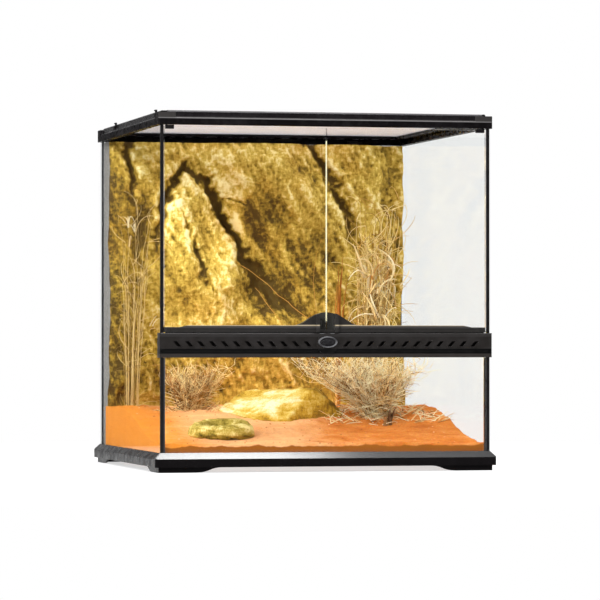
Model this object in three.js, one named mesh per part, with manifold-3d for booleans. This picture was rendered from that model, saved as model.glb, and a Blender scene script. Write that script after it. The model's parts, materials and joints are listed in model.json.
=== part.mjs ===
// Front-opening glass terrarium cabinet with a lift-off screen lid, a lock under its two doors,
// and its rock panel, sand, stones and dry grass. Millimetres; +X right, +Y to the back, +Z up,
// with the origin on the ground under the middle of the cabinet.
import * as THREE from "three";
import { ConvexGeometry } from "three/addons/geometries/ConvexGeometry.js";
import { mergeVertices } from "three/addons/utils/BufferGeometryUtils.js";
import Module from "manifold-3d";

const wasm = await Module();
wasm.setup();

// Cabinet
const cabinetWidth = 450; // outer faces of the side panes
const cabinetDepth = 450; // front plane of the doors to the outer face of the back pane
const frameTop = 475; // top of the top frame's rim
const pane = 4; // glass thickness
const gap = 0.3; // clearance between touching pieces

// Base frame
const baseOverhang = 8; // how far the base stands out beyond the glass
const footHeight = 7;
const footFlat = 50;
const footCurve = 38; // length of the curve from the foot up to the band
const footInset = 5;
const footWall = 3;
const baseEdge = 18; // height of the outer edge, where the sloped ledge starts
const ledgeTop = 26; // height at which the ledge meets the glass
const floorSeat = 16; // shelf on which floor glass and panes stand
const shelfWidth = 20; // how far the shelf reaches in under the panes
const shelfWall = 3;
const baseWall = 2.5;
const cornerRound = 4;

// Corner trims and seals
const trimWidth = 4.3;
const trimThick = 2.2;
const sealWidth = 2.4;

// Vent strip
const stripBottom = 151.5;
const stripHeight = 32.5;
const stripOut = 4.5; // how far its face stands in front of the glass plane
const stripWall = 2.5;
const stripReach = 13.5; // from the face to its back edge
const stripCheek = 1.5; // wall that wraps round the side panes
const cheekLength = 15.5;
const glassInStrip = 8.5; // how far the lower glass reaches up into the strip
const baffleHeight = 13.2; // wall behind the slots, from the web up, with the air's way over it
const grooveHeight = 3; // web above the lower glass
const bandDepth = 2.2; // shadow groove under the slots
const slotCount = 12; // on each side of the lock
const slotStart = 27; // middle of the first slot from the lock's axis
const slotFromSide = 22; // middle of the last slot from the cabinet's side
const slotWidth = 5.4;
const slotHeight = 7;
const slotSlant = 6;
const slotRise = 18; // their middle over the strip's bottom
const slotLip = 1; // how far the lip under each slot stands out

// Lock
const bossRadius = 14.5;
const bossOut = 1;
const knobRaise = 2.5; // the knob's middle over the boss's
const knobWidth = 26;
const knobHeight = 15;
const knobOut = 2.5;
const knobRim = 2;
const knobRecess = 1.4;
const shaftRadius = 3.6;
const lobeLong = 6.8; // half axes of the lobe that lifts the bolt
const lobeShort = 3;
const boltTravel = 4;
const boltWidth = 19.6;
const boltThick = 1.8;
const coverThick = 1.7;
const retainerRadius = 5.5;
const retainerThick = 1.2;

// Doors
const doorGap = 0.8; // between the two doors
const doorSwingGap = 0.8; // under the rails
const hingeFromSide = 8.7; // door axis from the cabinet's outer face
const hingeFromFront = 2.5;
const hingePinRadius = 1.7;
const hingeBarrel = 3.9;
const hingeRelief = 6; // length beside the axis over which the rail's front is cut back
const railFront = 3; // how far the rail stands in front of the glass plane
const railBack = 7.5; // how far it reaches in behind that plane
const railHeight = 9.3;
const railFloor = 2.5;
const railStepLength = 17;
const railStepDrop = 2.5;
const railStepSlope = 12;
const railBead = 0.7;
const railBeadHeight = 1;
const doorSet = 0.5; // door glass behind the glass plane
const domeHalf = 44;
const domeHeight = 17.6;
const recessHalf = 11; // half width of the window between the pull ribs
const recessSill = 3.7;
const tongueSet = 1.5;
const cutReach = 20; // how far the cuts in the rail start in front of it
const ribWidth = 4;
const ribOut = 4.5;
const capLength = 11;
const capHeight = 5;
const capWall = 1.2;
const capFloor = 1.2;

// Top frame
const topOverhang = 3.6;
const frameHeight = 16.5;
const ridgeDrop = 7; // the outer ridge under the rim's top
const bevelInset = 3.4;
const rimInner = 6;
const seatDrop = 5; // the lid's seat under the rim's top
const seatWidth = 24;
const frameWall = 2.5;
const glassInFrame = 5.5; // how far the panes reach into the frame
const webAbovePanes = 3;
const cornerArm = 23; // length of each corner block along the rails
const cornerBlock = 13;
const hingeBossHalf = 4.4;
const pinDepth = 4.4;

// Lid
const lidRise = 2.5; // the lid's top over the rim's
const lidWidth = 12.7; // from its outer to its inner edge
const lidFlange = 2.7; // front flange over the rim
const lidBevel = 1.8;
const meshThick = 1;
const meshGroove = 6;
const meshSlots = 52; // the net's narrow slots across the lid
const meshRows = 3;
const meshWire = 2.4;
const meshBar = 4;

// Lid clips
const clipFromFront = 29;
const clipFromBack = 125;
const clipBoss = 10;
const clipBossSet = 1;
const clipInset = 3.5;
const clipPinRadius = 1.2;
const clipPinDepth = 4;
const clipArm = 8;
const clipArmWidth = 2.4;
const clipArmThick = 1.6;

// Cable inlets
const inletFromSide = 75; // its middle from the cabinet's side
const inletWidth = 24;
const inletHeight = 3.8;
const inletSill = 1.6;
const shutterLap = 3;
const shutterTab = 2.4; // how far its tab stands out at the back
const shutterTabWidth = 3;
const shutterTabSet = 2; // from the inlet's edge

// Furnishings
const rockBase = 30; // thickness of the rock panel behind the sand
const rockLeast = 8;
const rockTopGap = 1.2;
const rockColumns = 30;
const rockRows = 30;
const reliefStart = 95; // height at which the panel's relief begins
const reliefFull = 118;
const sandFront = 37;
const sandBack = 80;
const sandRiseStart = -200;
const sandRiseEnd = 70;
const sandRipple = 1.6;
const sandColumns = 18;
const sandRows = 16;
const buryDepth = 4; // how deep stones and grass roots stand in the sand

const halfWidth = cabinetWidth / 2;
const halfDepth = cabinetDepth / 2;
const front = -halfDepth;
const back = halfDepth;
const stripTop = stripBottom + stripHeight;
const lowerGlassTop = stripBottom + glassInStrip;
const slotMiddle = stripBottom + slotRise;
const slotPitch = (halfWidth - slotFromSide - slotStart) / (slotCount - 1);
const knobMiddle = slotMiddle + knobRaise;
const frameBottom = frameTop - frameHeight;
const ridgeHeight = frameTop - ridgeDrop;
const lidSeat = frameTop - seatDrop;
const lidTop = frameTop + lidRise;
const clipTop = lidTop + gap + clipArmThick;
const clipPlaces = [front + clipFromFront, back - clipFromBack];
const inletMiddle = halfWidth - inletFromSide;

// The relief, the stones and the grass are drawn for a cabinet of this size and stretch with it
const drawn = { width: 450, depth: 450, top: 475 };
const stretchX = cabinetWidth / drawn.width;
const stretchY = cabinetDepth / drawn.depth;
const stretchZ = frameTop / drawn.top;

// Rock panel relief, seen from the front: [x, z, half width, half height, how far it stands out]
const rockBulges = [
  [-200, 260, 26, 170, 16],
  [-118, 300, 34, 100, 24],
  [-92, 205, 40, 75, 20],
  [-48, 262, 26, 55, 24],
  [-20, 405, 62, 50, 30],
  [50, 385, 40, 60, 22],
  [30, 180, 46, 40, 16],
  [120, 415, 34, 50, 14],
  [110, 250, 60, 110, 10],
  [-165, 425, 30, 40, 14],
];
// [x, z at one end, x, z at the other, half width, depth]
const rockCrevices = [
  [-108, 428, -79, 400, 12, 26],
  [-79, 400, -42, 333, 13, 34],
  [-42, 333, -14, 280, 13, 30],
  [-14, 280, 20, 232, 20, 22],
  [-108, 428, -140, 370, 11, 22],
  [-140, 370, -152, 300, 9, 14],
  [-188, 450, -184, 372, 8, 22],
  [79, 452, 136, 352, 11, 24],
  [136, 352, 150, 290, 12, 12],
  [20, 228, 88, 205, 22, 16],
  [-76, 300, -66, 228, 8, 12],
  [195, 460, 200, 180, 22, 16],
];
// The panel gets thinner towards its right end: [x where that starts, x where it is full, by how much]
const rockTaper = [120, 225, 14];

// Grass: the middle's distance from the near side pane's face and from the cabinet's middle, the
// root's radius, strands, height, how far it spreads and leans, and how much deeper than wide it is
const grassTufts = {
  scrub_left: { fromLeft: 95, y: 42, root: 18, strands: 100, height: 62, splay: 2.8, lean: 6, deep: 0.8 },
  scrub_right: {
    fromRight: 105,
    y: -18,
    root: 19,
    strands: 130,
    height: 86,
    splay: 6,
    lean: -26,
    deep: 0.7,
  },
  reeds_left: { fromLeft: 31, y: 132, root: 11, strands: 34, height: 305, splay: 0.8, lean: 2, deep: 1.5 },
  reeds_right: {
    fromRight: 73,
    y: 120,
    root: 18,
    strands: 46,
    height: 300,
    splay: 1.9,
    lean: 6,
    deep: 0.75,
  },
};

const ink = { color: 0x17161a, roughness: 0.5, metalness: 0 };
const clear = { color: 0xe8f2ec, roughness: 0.05, metalness: 0, transparent: true, opacity: 0.25 };
const silicone = { color: 0x101010, roughness: 0.7, metalness: 0 };
const steel = { color: 0xb9bcc0, roughness: 0.35, metalness: 0.9 };
const wire = { color: 0xc9c7c8, roughness: 0.45, metalness: 0.7 };
const rock = { color: 0xb49a4a, roughness: 0.95, metalness: 0 };
const sand = { color: 0xe88a3c, roughness: 1, metalness: 0 };
const stone = { color: 0xc9b96a, roughness: 0.95, metalness: 0 };
const straw = { color: 0xd6b27a, roughness: 0.9, metalness: 0 };

const cabinet = new THREE.Group();

// A closed geometry as a solid for joining and cutting
function solid(geometry) {
  const bare = geometry.index ? geometry.toNonIndexed() : geometry.clone();
  bare.deleteAttribute("normal");
  bare.deleteAttribute("uv");
  const merged = mergeVertices(bare, 1e-4);
  return new wasm.Manifold(
    new wasm.Mesh({
      numProp: 3,
      vertProperties: merged.attributes.position.array,
      triVerts: new Uint32Array(merged.index.array),
    }),
  );
}

// A join inside the body leaves its shape as it is and gives its flat faces few triangles
function withPlainFlats(body, [x, y, z]) {
  return body.add(box([x - 1, x + 1], [y - 1, y + 1], [z - 1, z + 1]));
}

function geometryOf(body) {
  const mesh = body.getMesh();
  const geometry = new THREE.BufferGeometry();
  geometry.setAttribute("position", new THREE.BufferAttribute(mesh.vertProperties, 3));
  geometry.setIndex(new THREE.BufferAttribute(mesh.triVerts, 1));
  return geometry;
}

function place(name, shape, look) {
  const geometry = shape.isBufferGeometry ? shape : geometryOf(shape);
  geometry.computeVertexNormals();
  const mesh = new THREE.Mesh(geometry, new THREE.MeshStandardMaterial(look));
  mesh.name = name;
  cabinet.add(mesh);
}

function joined(bodies) {
  return bodies.reduce((sum, body) => sum.add(body));
}

function boxGeometry([x0, x1], [y0, y1], [z0, z1]) {
  const geometry = new THREE.BoxGeometry(x1 - x0, y1 - y0, z1 - z0);
  return geometry.translate((x0 + x1) / 2, (y0 + y1) / 2, (z0 + z1) / 2);
}

function box(xs, ys, zs) {
  return solid(boxGeometry(xs, ys, zs));
}

// The same span on the other side of the middle plane
function span(a, b, side = 1) {
  return side > 0 ? [a, b] : [-b, -a];
}

function outline(points) {
  return new THREE.Shape(points.map(([a, b]) => new THREE.Vector2(a, b)));
}

function extruded(shape, depth, curveSegments = 8) {
  return new THREE.ExtrudeGeometry(shape, { depth, curveSegments, bevelEnabled: false });
}

// A shape drawn in X and Y, standing between two heights
function standing(shape, [z0, z1], curveSegments) {
  return solid(extruded(shape, z1 - z0, curveSegments).translate(0, 0, z0));
}

// A shape drawn in X and Z, seen from the front, between two depths
function facing(shape, [y0, y1], curveSegments) {
  const geometry = extruded(shape, y1 - y0, curveSegments).rotateX(Math.PI / 2);
  return solid(geometry.translate(0, y1, 0));
}

// A section drawn in Y and Z, run along X
function running(shape, [x0, x1]) {
  const turn = new THREE.Matrix4().makeBasis(
    new THREE.Vector3(0, 1, 0),
    new THREE.Vector3(0, 0, 1),
    new THREE.Vector3(1, 0, 0),
  );
  return solid(extruded(shape, x1 - x0).applyMatrix4(turn).translate(x0, 0, 0));
}

function upright(radius, [x, y], [z0, z1], sides = 16) {
  const geometry = new THREE.CylinderGeometry(radius, radius, z1 - z0, sides);
  return solid(geometry.rotateX(Math.PI / 2).translate(x, y, (z0 + z1) / 2));
}

function roundedRectangle(halfX, halfY, radius) {
  const shape = new THREE.Shape();
  shape.moveTo(-halfX + radius, -halfY);
  shape.lineTo(halfX - radius, -halfY);
  shape.absarc(halfX - radius, -halfY + radius, radius, -Math.PI / 2, 0);
  shape.lineTo(halfX, halfY - radius);
  shape.absarc(halfX - radius, halfY - radius, radius, 0, Math.PI / 2);
  shape.lineTo(-halfX + radius, halfY);
  shape.absarc(-halfX + radius, halfY - radius, radius, Math.PI / 2, Math.PI);
  shape.lineTo(-halfX, -halfY + radius);
  shape.absarc(-halfX + radius, -halfY + radius, radius, Math.PI, 1.5 * Math.PI);
  return shape;
}

// A section of [inset from the outer face, height], run round a rectangle with mitred corners
function frameRing(section, halfX, halfY) {
  const reach = Math.min(halfX, halfY);
  const points = section.map(
    ([inset, height]) => new THREE.Vector2(Math.SQRT2 * (reach - inset), height),
  );
  if (THREE.ShapeUtils.isClockWise(points)) points.reverse();
  points.push(points[0].clone());
  const geometry = new THREE.LatheGeometry(points, 4, Math.PI / 4);
  const position = geometry.attributes.position;
  for (let i = 0; i < position.count; i++) {
    position.setX(i, position.getX(i) + Math.sign(position.getX(i)) * (halfX - reach));
    position.setZ(i, position.getZ(i) + Math.sign(position.getZ(i)) * (halfY - reach));
  }
  return solid(geometry.rotateX(Math.PI / 2));
}

// One side of the base's skirt: a foot at each end and a low arch between
function footSkirt(half) {
  const top = footHeight + footWall;
  const shape = new THREE.Shape();
  shape.moveTo(-half, top);
  shape.lineTo(-half, 0);
  shape.lineTo(-half + footFlat, 0);
  shape.bezierCurveTo(
    -half + footFlat + footCurve * 0.55,
    0,
    -half + footFlat + footCurve * 0.45,
    footHeight,
    -half + footFlat + footCurve,
    footHeight,
  );
  shape.lineTo(half - footFlat - footCurve, footHeight);
  shape.bezierCurveTo(
    half - footFlat - footCurve * 0.45,
    footHeight,
    half - footFlat - footCurve * 0.55,
    0,
    half - footFlat,
    0,
  );
  shape.lineTo(half, 0);
  shape.lineTo(half, top);
  return extruded(shape, footWall, 6);
}

function baseFrame() {
  const halfX = halfWidth + baseOverhang;
  const halfY = halfDepth + baseOverhang;
  const glassFace = baseOverhang - gap;
  const shelfEdge = baseOverhang + shelfWidth;
  const section = [
    [0, footHeight],
    [0, baseEdge],
    [glassFace, ledgeTop],
    [glassFace, floorSeat],
    [shelfEdge, floorSeat],
    [shelfEdge, floorSeat - shelfWall],
    [baseWall + shelfWall, floorSeat - shelfWall],
    [baseWall, footHeight + shelfWall],
    [baseWall, footHeight],
  ];
  const skirtX = halfX - footInset;
  const skirtY = halfY - footInset;
  const frontSkirt = () => footSkirt(skirtX).rotateX(Math.PI / 2);
  const sideSkirt = () => footSkirt(skirtY).rotateX(Math.PI / 2).rotateZ(Math.PI / 2);
  // The skirts stand under the band, and a flat strip carries them out to it
  const carrier = [
    [baseWall - 1, footHeight],
    [baseWall - 1, footHeight + footWall],
    [footInset + footWall, footHeight + footWall],
    [footInset + footWall, footHeight],
  ];
  const skirts = joined([
    solid(frontSkirt().translate(0, -skirtY + footWall, 0)),
    solid(frontSkirt().translate(0, skirtY, 0)),
    solid(sideSkirt().translate(-skirtX, 0, 0)),
    solid(sideSkirt().translate(skirtX - footWall, 0, 0)),
  ]);
  const outer = roundedRectangle(halfX, halfY, cornerRound);
  const whole = frameRing(section, halfX, halfY)
    .add(frameRing(carrier, halfX, halfY))
    .add(skirts);
  return whole.intersect(standing(outer, [0, ledgeTop], 4));
}

const paneFoot = floorSeat + gap;
const paneTop = frameBottom + glassInFrame;
const innerX = halfWidth - pane;
const innerY = halfDepth - pane;
const sealOuter = innerX - gap;
const paneHalf = sealOuter - sealWidth - gap; // half width of the panes between the side panes
const sideFront = front + trimThick + gap;
const lowerGlassFront = sideFront;
const floorTop = paneFoot + pane;

function glassBox() {
  const heights = [paneFoot, paneTop];
  for (const [name, side] of [["left_glass", -1], ["right_glass", 1]]) {
    place(name, box(span(innerX, halfWidth, side), [sideFront, back], heights), clear);
  }
  place("back_glass", box([-paneHalf, paneHalf], [innerY, back], [paneFoot, frameBottom]), clear);
  place(
    "lower_front_glass",
    box(
      [-paneHalf, paneHalf],
      [lowerGlassFront, lowerGlassFront + pane],
      [paneFoot, lowerGlassTop],
    ),
    clear,
  );
  const floorX = innerX - gap;
  const floorY = [lowerGlassFront + pane + gap, innerY - gap];
  place("floor_glass", box([-floorX, floorX], floorY, [paneFoot, floorTop]), clear);
}

function seals() {
  const spots = [
    ["front_seal", lowerGlassFront, stripBottom - gap],
    ["rear_seal", innerY, frameBottom - gap],
  ];
  for (const [name, y, top] of spots) {
    for (const [hand, side] of [["left", -1], ["right", 1]]) {
      const across = span(paneHalf + gap, sealOuter, side);
      place(`${name}_${hand}`, box(across, [y, y + pane], [paneFoot, top]), silicone);
    }
  }
}

function cornerTrims() {
  for (const [name, side] of [["corner_trim_left", -1], ["corner_trim_right", 1]]) {
    const across = span(halfWidth - trimWidth, halfWidth, side);
    const body = box(across, [front, front + trimThick], [paneFoot, frameBottom - gap]);
    place(name, body, ink);
  }
}

const stripFace = front - stripOut;
const lockPocket = [stripFace + gap, stripFace + gap + boltThick + 2 * gap];
const boltFront = lockPocket[0] + gap;
const windowTop = lobeShort + 0.5; // the lobe's clearance under the bolt at rest
const windowBottom = lobeLong + boltTravel + 0.4;
const boltHeel = 2.5;
const boltTop = stripTop - gap;
const boltBottom = knobMiddle - windowBottom - boltHeel;

// One parallelogram slot, leaning the other way on the other side of the lock
function slotPoints(middle, side, grow = 0) {
  const low = slotMiddle - slotHeight / 2;
  const high = slotMiddle + slotHeight / 2;
  const lean = (side * slotSlant) / 2;
  const half = slotWidth / 2 + grow;
  return [
    [middle - half - lean, low],
    [middle + half - lean, low],
    [middle + half + lean, high],
    [middle - half + lean, high],
  ];
}

function slotMiddles() {
  const middles = [];
  for (let i = 0; i < slotCount; i++) {
    middles.push([-(slotStart + i * slotPitch), -1], [slotStart + i * slotPitch, 1]);
  }
  return middles;
}

const hingeX = halfWidth - hingeFromSide;
const hingeY = front + hingeFromFront;

function ventStrip() {
  const y = (inward) => stripFace + inward;
  const glass = lowerGlassFront - stripFace;
  const web = lowerGlassTop + gap;
  const section = outline([
    [y(0.6), stripBottom],
    [y(0.6), stripBottom + 5.8],
    [y(bandDepth), stripBottom + 6.8],
    [y(bandDepth), web + 0.9],
    [y(0), web + 2.3],
    [y(0), stripTop - 1.4],
    [y(1.2), stripTop],
    [y(stripReach), stripTop],
    [y(stripReach), stripTop - stripWall],
    [y(stripWall), stripTop - stripWall],
    [y(stripWall), web + grooveHeight],
    [y(stripReach - stripWall), web + grooveHeight],
    [y(stripReach - stripWall), web + grooveHeight + baffleHeight],
    [y(stripReach), web + grooveHeight + baffleHeight],
    [y(stripReach), stripBottom],
    [y(glass + pane + gap), stripBottom],
    [y(glass + pane + gap), web],
    [y(glass - gap), web],
    [y(glass - gap), stripBottom],
  ]);
  const outerX = halfWidth + gap + stripCheek;
  const boss = new THREE.Shape().absarc(0, slotMiddle, bossRadius, 0, 2 * Math.PI);
  const bossBlock = facing(boss, [stripFace - bossOut, y(glass - gap)], 10).intersect(
    box([-outerX, outerX], [stripFace - bossOut, y(glass - gap)], [stripBottom, stripTop]),
  );
  const wall = [stripFace - 1, y(stripWall) + 1];
  const slots = slotMiddles().map(([x, side]) => facing(outline(slotPoints(x, side)), wall));
  const lips = slotMiddles().map(([x, side]) => {
    const low = slotMiddle - slotHeight / 2;
    const foot = x - (side * slotSlant) / 2;
    const half = slotWidth / 2 + 0.8;
    const lip = outline([
      [foot - half, low - 1.3],
      [foot + half, low - 1.3],
      [foot + half + side * 0.6, low],
      [foot - half + side * 0.6, low],
    ]);
    return facing(lip, [stripFace - slotLip, stripFace + 1]);
  });
  let strip = running(section, [-outerX, outerX]);
  for (const side of [-1, 1]) {
    const cheek = span(halfWidth + gap, outerX, side);
    const beside = span(innerX - 2 * gap, halfWidth + gap, side);
    const cheekY = [stripFace, stripFace + cheekLength];
    strip = strip
      .add(box(cheek, cheekY, [stripBottom, stripTop]))
      .subtract(box(beside, [front - gap, 0], [stripBottom - 1, stripTop + 1]))
      .subtract(upright(hingePinRadius + gap, [side * hingeX, hingeY], [stripTop - 4, stripTop + 1]));
  }
  strip = strip.add(joined(lips)).subtract(joined(slots)).add(bossBlock);
  const half = boltWidth / 2 + gap;
  const knobHole = new THREE.Shape().absarc(0, knobMiddle, shaftRadius + gap, 0, 2 * Math.PI);
  const coverRoom = box(
    [-half - 2, half + 2],
    [lockPocket[1], y(glass - gap) + 1],
    [web + grooveHeight, stripTop - stripWall],
  );
  return strip
    .subtract(box([-half, half], lockPocket, [boltBottom - gap, stripTop + 1]))
    .subtract(facing(knobHole, [stripFace - bossOut - 1, stripFace + 1], 6))
    .subtract(coverRoom);
}

function ellipse(halfX, halfZ, middle) {
  return new THREE.Shape().absellipse(0, middle, halfX, halfZ, 0, 2 * Math.PI);
}

const bossFace = stripFace - bossOut;
const coverY = [lockPocket[1] + gap, lockPocket[1] + gap + coverThick];

function lock() {
  const knobBack = bossFace - gap;
  const knobFace = bossFace - knobOut;
  const recess = ellipse(knobWidth / 2 - knobRim, knobHeight / 2 - knobRim, knobMiddle);
  const grip = ellipse(knobWidth / 2 - 2 * knobRim, knobHeight / 5, knobMiddle);
  const shaft = new THREE.Shape().absarc(0, knobMiddle, shaftRadius, 0, 2 * Math.PI);
  const tail = new THREE.Shape().absarc(0, knobMiddle, shaftRadius - 1, 0, 2 * Math.PI);
  const retainerY = [coverY[1] + gap, coverY[1] + gap + retainerThick];
  const knob = facing(ellipse(knobWidth / 2, knobHeight / 2, knobMiddle), [knobFace, knobBack], 10)
    .subtract(facing(recess, [knobFace - 1, knobFace + knobRecess], 10))
    .add(facing(grip, [knobFace, knobFace + knobRecess + 0.2], 8))
    .add(facing(shaft, [knobBack - 0.2, boltFront - gap / 2], 6))
    .add(facing(ellipse(lobeLong, lobeShort, knobMiddle), [boltFront - gap / 2, lockPocket[1]], 8))
    .add(facing(tail, [lockPocket[1] - 0.2, retainerY[1] + 0.8], 6));
  place("lock_knob", knob, ink);

  const ring = new THREE.Shape().absarc(0, knobMiddle, retainerRadius, 0, 2 * Math.PI);
  ring.holes.push(new THREE.Path().absarc(0, knobMiddle, shaftRadius - 1 + gap, 0, 2 * Math.PI, true));
  place("lock_retainer", facing(ring, retainerY, 6), steel);

  const bolt = outline([
    [-boltWidth / 2, boltBottom],
    [boltWidth / 2, boltBottom],
    [boltWidth / 2, boltTop],
    [-boltWidth / 2, boltTop],
  ]);
  const windowHalf = lobeLong + 0.5;
  bolt.holes.push(
    new THREE.Path([
      new THREE.Vector2(-windowHalf, knobMiddle - windowBottom),
      new THREE.Vector2(-windowHalf, knobMiddle + windowTop),
      new THREE.Vector2(windowHalf, knobMiddle + windowTop),
      new THREE.Vector2(windowHalf, knobMiddle - windowBottom),
    ]),
  );
  place("lock_bolt", facing(bolt, [boltFront, boltFront + boltThick]), steel);

  const coverHalf = boltWidth / 2 + 1.8;
  const coverBottom = lowerGlassTop + gap + grooveHeight + gap;
  const cover = outline([
    [-coverHalf, coverBottom],
    [coverHalf, coverBottom],
    [coverHalf, stripTop - stripWall - gap],
    [-coverHalf, stripTop - stripWall - gap],
  ]);
  cover.holes.push(new THREE.Path().absarc(0, knobMiddle, shaftRadius - 1 + gap, 0, 2 * Math.PI, true));
  place("lock_cover", facing(cover, coverY, 6), ink);
}

const railBottom = stripTop + doorSwingGap;
const railTop = railBottom + railHeight;
const doorGlassFront = front + doorSet;
const doorEnd = hingeX + hingeBarrel - gap; // outer edge of the door glass

// Height of the rail's top edge over the dome, as a curve from the middle outwards
function domeCurve(shape, side) {
  shape.lineTo(side * domeHalf, railTop);
  shape.bezierCurveTo(
    side * domeHalf * 0.68,
    railTop + 0.5,
    side * domeHalf * 0.455,
    railTop + domeHeight,
    0,
    railTop + domeHeight,
  );
}

function railOutline(side) {
  const stepEnd = hingeX - railStepLength;
  const shape = new THREE.Shape();
  shape.moveTo(0, railBottom);
  shape.lineTo(side * (hingeX + hingeBarrel), railBottom);
  shape.lineTo(side * (hingeX + hingeBarrel), railTop - railStepDrop);
  shape.lineTo(side * stepEnd, railTop - railStepDrop);
  shape.lineTo(side * (stepEnd - railStepSlope), railTop);
  domeCurve(shape, side);
  return shape;
}

function doorRail(side) {
  const shape = railOutline(side);
  const railY = [front - railFront, front + railBack];
  const tall = [railBottom - 5, railTop + domeHeight + 5];
  const over = hingeX + hingeBarrel + 1;
  const groove = [doorGlassFront - gap, doorGlassFront + pane + gap];
  const ribs = facing(shape, [front - railFront - ribOut, front], 12).intersect(
    box(span(recessHalf, recessHalf + ribWidth, side), [front - cutReach, 0], tall),
  );
  const bead = box(
    span(recessHalf + ribWidth - 1, hingeX - hingeRelief - 6, side),
    [front - railFront - railBead, front - railFront + 1],
    [railBottom + railHeight / 2, railBottom + railHeight / 2 + railBeadHeight],
  );
  const nose = box(span(hingeX, over, side), [front - cutReach, hingeY], tall).subtract(
    upright(hingeBarrel, [side * hingeX, hingeY], tall, 24),
  );
  const recess = span(-1, recessHalf, side);
  const relief = span(hingeX - hingeRelief, over, side);
  return facing(shape, railY, 12)
    .add(ribs)
    .add(bead)
    .subtract(box([-over, over], groove, [railBottom + railFloor, tall[1]]))
    .subtract(box(recess, [front - cutReach, groove[0] + 1], [railBottom + recessSill, tall[1]]))
    .subtract(box(recess, [front - cutReach, front - railFront + tongueSet], tall))
    .subtract(box(relief, [front - cutReach, hingeY - hingeBarrel], tall))
    .subtract(nose)
    .subtract(box(span(-1, doorGap / 2, side), [front - cutReach, 0], tall))
    .add(upright(hingePinRadius, [side * hingeX, hingeY], [stripTop - stripWall + gap, railBottom + 1]));
}

const doorGlassTop = frameBottom - 2 * gap - capFloor - gap;

function hingeCap(side) {
  const capTop = frameBottom - 2 * gap;
  const wallY = [doorGlassFront - gap - capWall, doorGlassFront + pane + gap + capWall];
  const inner = [doorGlassFront - gap, doorGlassFront + pane + gap];
  const across = span(hingeX - capLength + 1.5, hingeX + 1.5, side);
  return box(across, wallY, [capTop - capHeight, capTop])
    .subtract(box(span(0, halfWidth, side), inner, [0, capTop - capFloor]))
    .add(upright(hingePinRadius, [side * hingeX, hingeY], [capTop - 0.5, frameBottom + pinDepth - gap]));
}

function doors() {
  for (const [hand, side] of [["left", -1], ["right", 1]]) {
    const across = span(doorGap / 2 + 0.2, doorEnd - 0.4, side);
    const glassFoot = railBottom + railFloor + gap;
    const through = [doorGlassFront, doorGlassFront + pane];
    place(`${hand}_door_glass`, box(across, through, [glassFoot, doorGlassTop]), clear);
    place(`${hand}_door_rail`, doorRail(side), ink);
    place(`${hand}_hinge_cap`, hingeCap(side), ink);
  }
}

const topX = halfWidth + topOverhang;
const topY = halfDepth + topOverhang;

// Plan of one corner block: two arms along the rails with slanted ends
function cornerPlan(signX, signY) {
  const arm = cornerArm;
  const thick = rimInner;
  const points = [
    [0, 0],
    [arm, 0],
    [arm + bevelInset, bevelInset],
    [arm + bevelInset, thick],
    [cornerBlock, thick],
    [cornerBlock, cornerBlock],
    [thick, cornerBlock],
    [thick, arm + bevelInset],
    [bevelInset, arm + bevelInset],
    [0, arm],
  ];
  return outline(points.map(([a, b]) => [signX * (topX - a), signY * (topY - b)]));
}

function topFrame() {
  const outside = topOverhang - gap;
  const inside = topOverhang + pane + gap;
  const web = paneTop + gap;
  const section = [
    [0, frameBottom],
    [0, ridgeHeight - 0.8],
    [0.7, ridgeHeight],
    [bevelInset, frameTop],
    [rimInner, frameTop],
    [rimInner, lidSeat],
    [seatWidth, lidSeat],
    [seatWidth, lidSeat - webAbovePanes],
    [inside + frameWall, lidSeat - webAbovePanes],
    [inside + frameWall, frameBottom],
    [inside, frameBottom],
    [inside, web],
    [outside, web],
    [outside, frameBottom],
  ];
  let frame = frameRing(section, topX, topY);
  for (const signX of [-1, 1]) {
    for (const signY of [-1, 1]) {
      frame = frame.add(standing(cornerPlan(signX, signY), [web, frameTop]));
    }
    for (const y of clipPlaces) {
      const boss = span(topX - rimInner, topX - clipBossSet, signX);
      const pin = [signX * (topX - clipInset), y];
      frame = frame
        .add(box(boss, [y - clipBoss / 2, y + clipBoss / 2], [ridgeHeight - 2, frameTop]))
        .subtract(upright(clipPinRadius + gap, pin, [frameTop - clipPinDepth - gap, frameTop + 1]));
    }
    // The front rail is solid round the door's upper pin
    const bossX = span(hingeX - hingeBossHalf, innerX - gap, signX);
    frame = frame
      .add(box(bossX, [-topY + 1, -topY + inside + 1], [frameBottom, web + 1]))
      .subtract(
        upright(hingePinRadius + gap, [signX * hingeX, hingeY], [frameBottom - 1, frameBottom + pinDepth]),
      );
    // The cable inlet goes through both walls of the rear rail, above the back pane
    const inlet = span(inletMiddle - inletWidth / 2, inletMiddle + inletWidth / 2, signX);
    const sill = frameBottom + inletSill;
    frame = frame.subtract(
      box(inlet, [topY - inside - frameWall - 1, topY + 1], [sill, sill + inletHeight]),
    );
  }
  return frame.intersect(standing(roundedRectangle(topX, topY, 2.5), [frameBottom, frameTop], 3));
}

const meshBottom = lidSeat + gap + 1.3;

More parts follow.
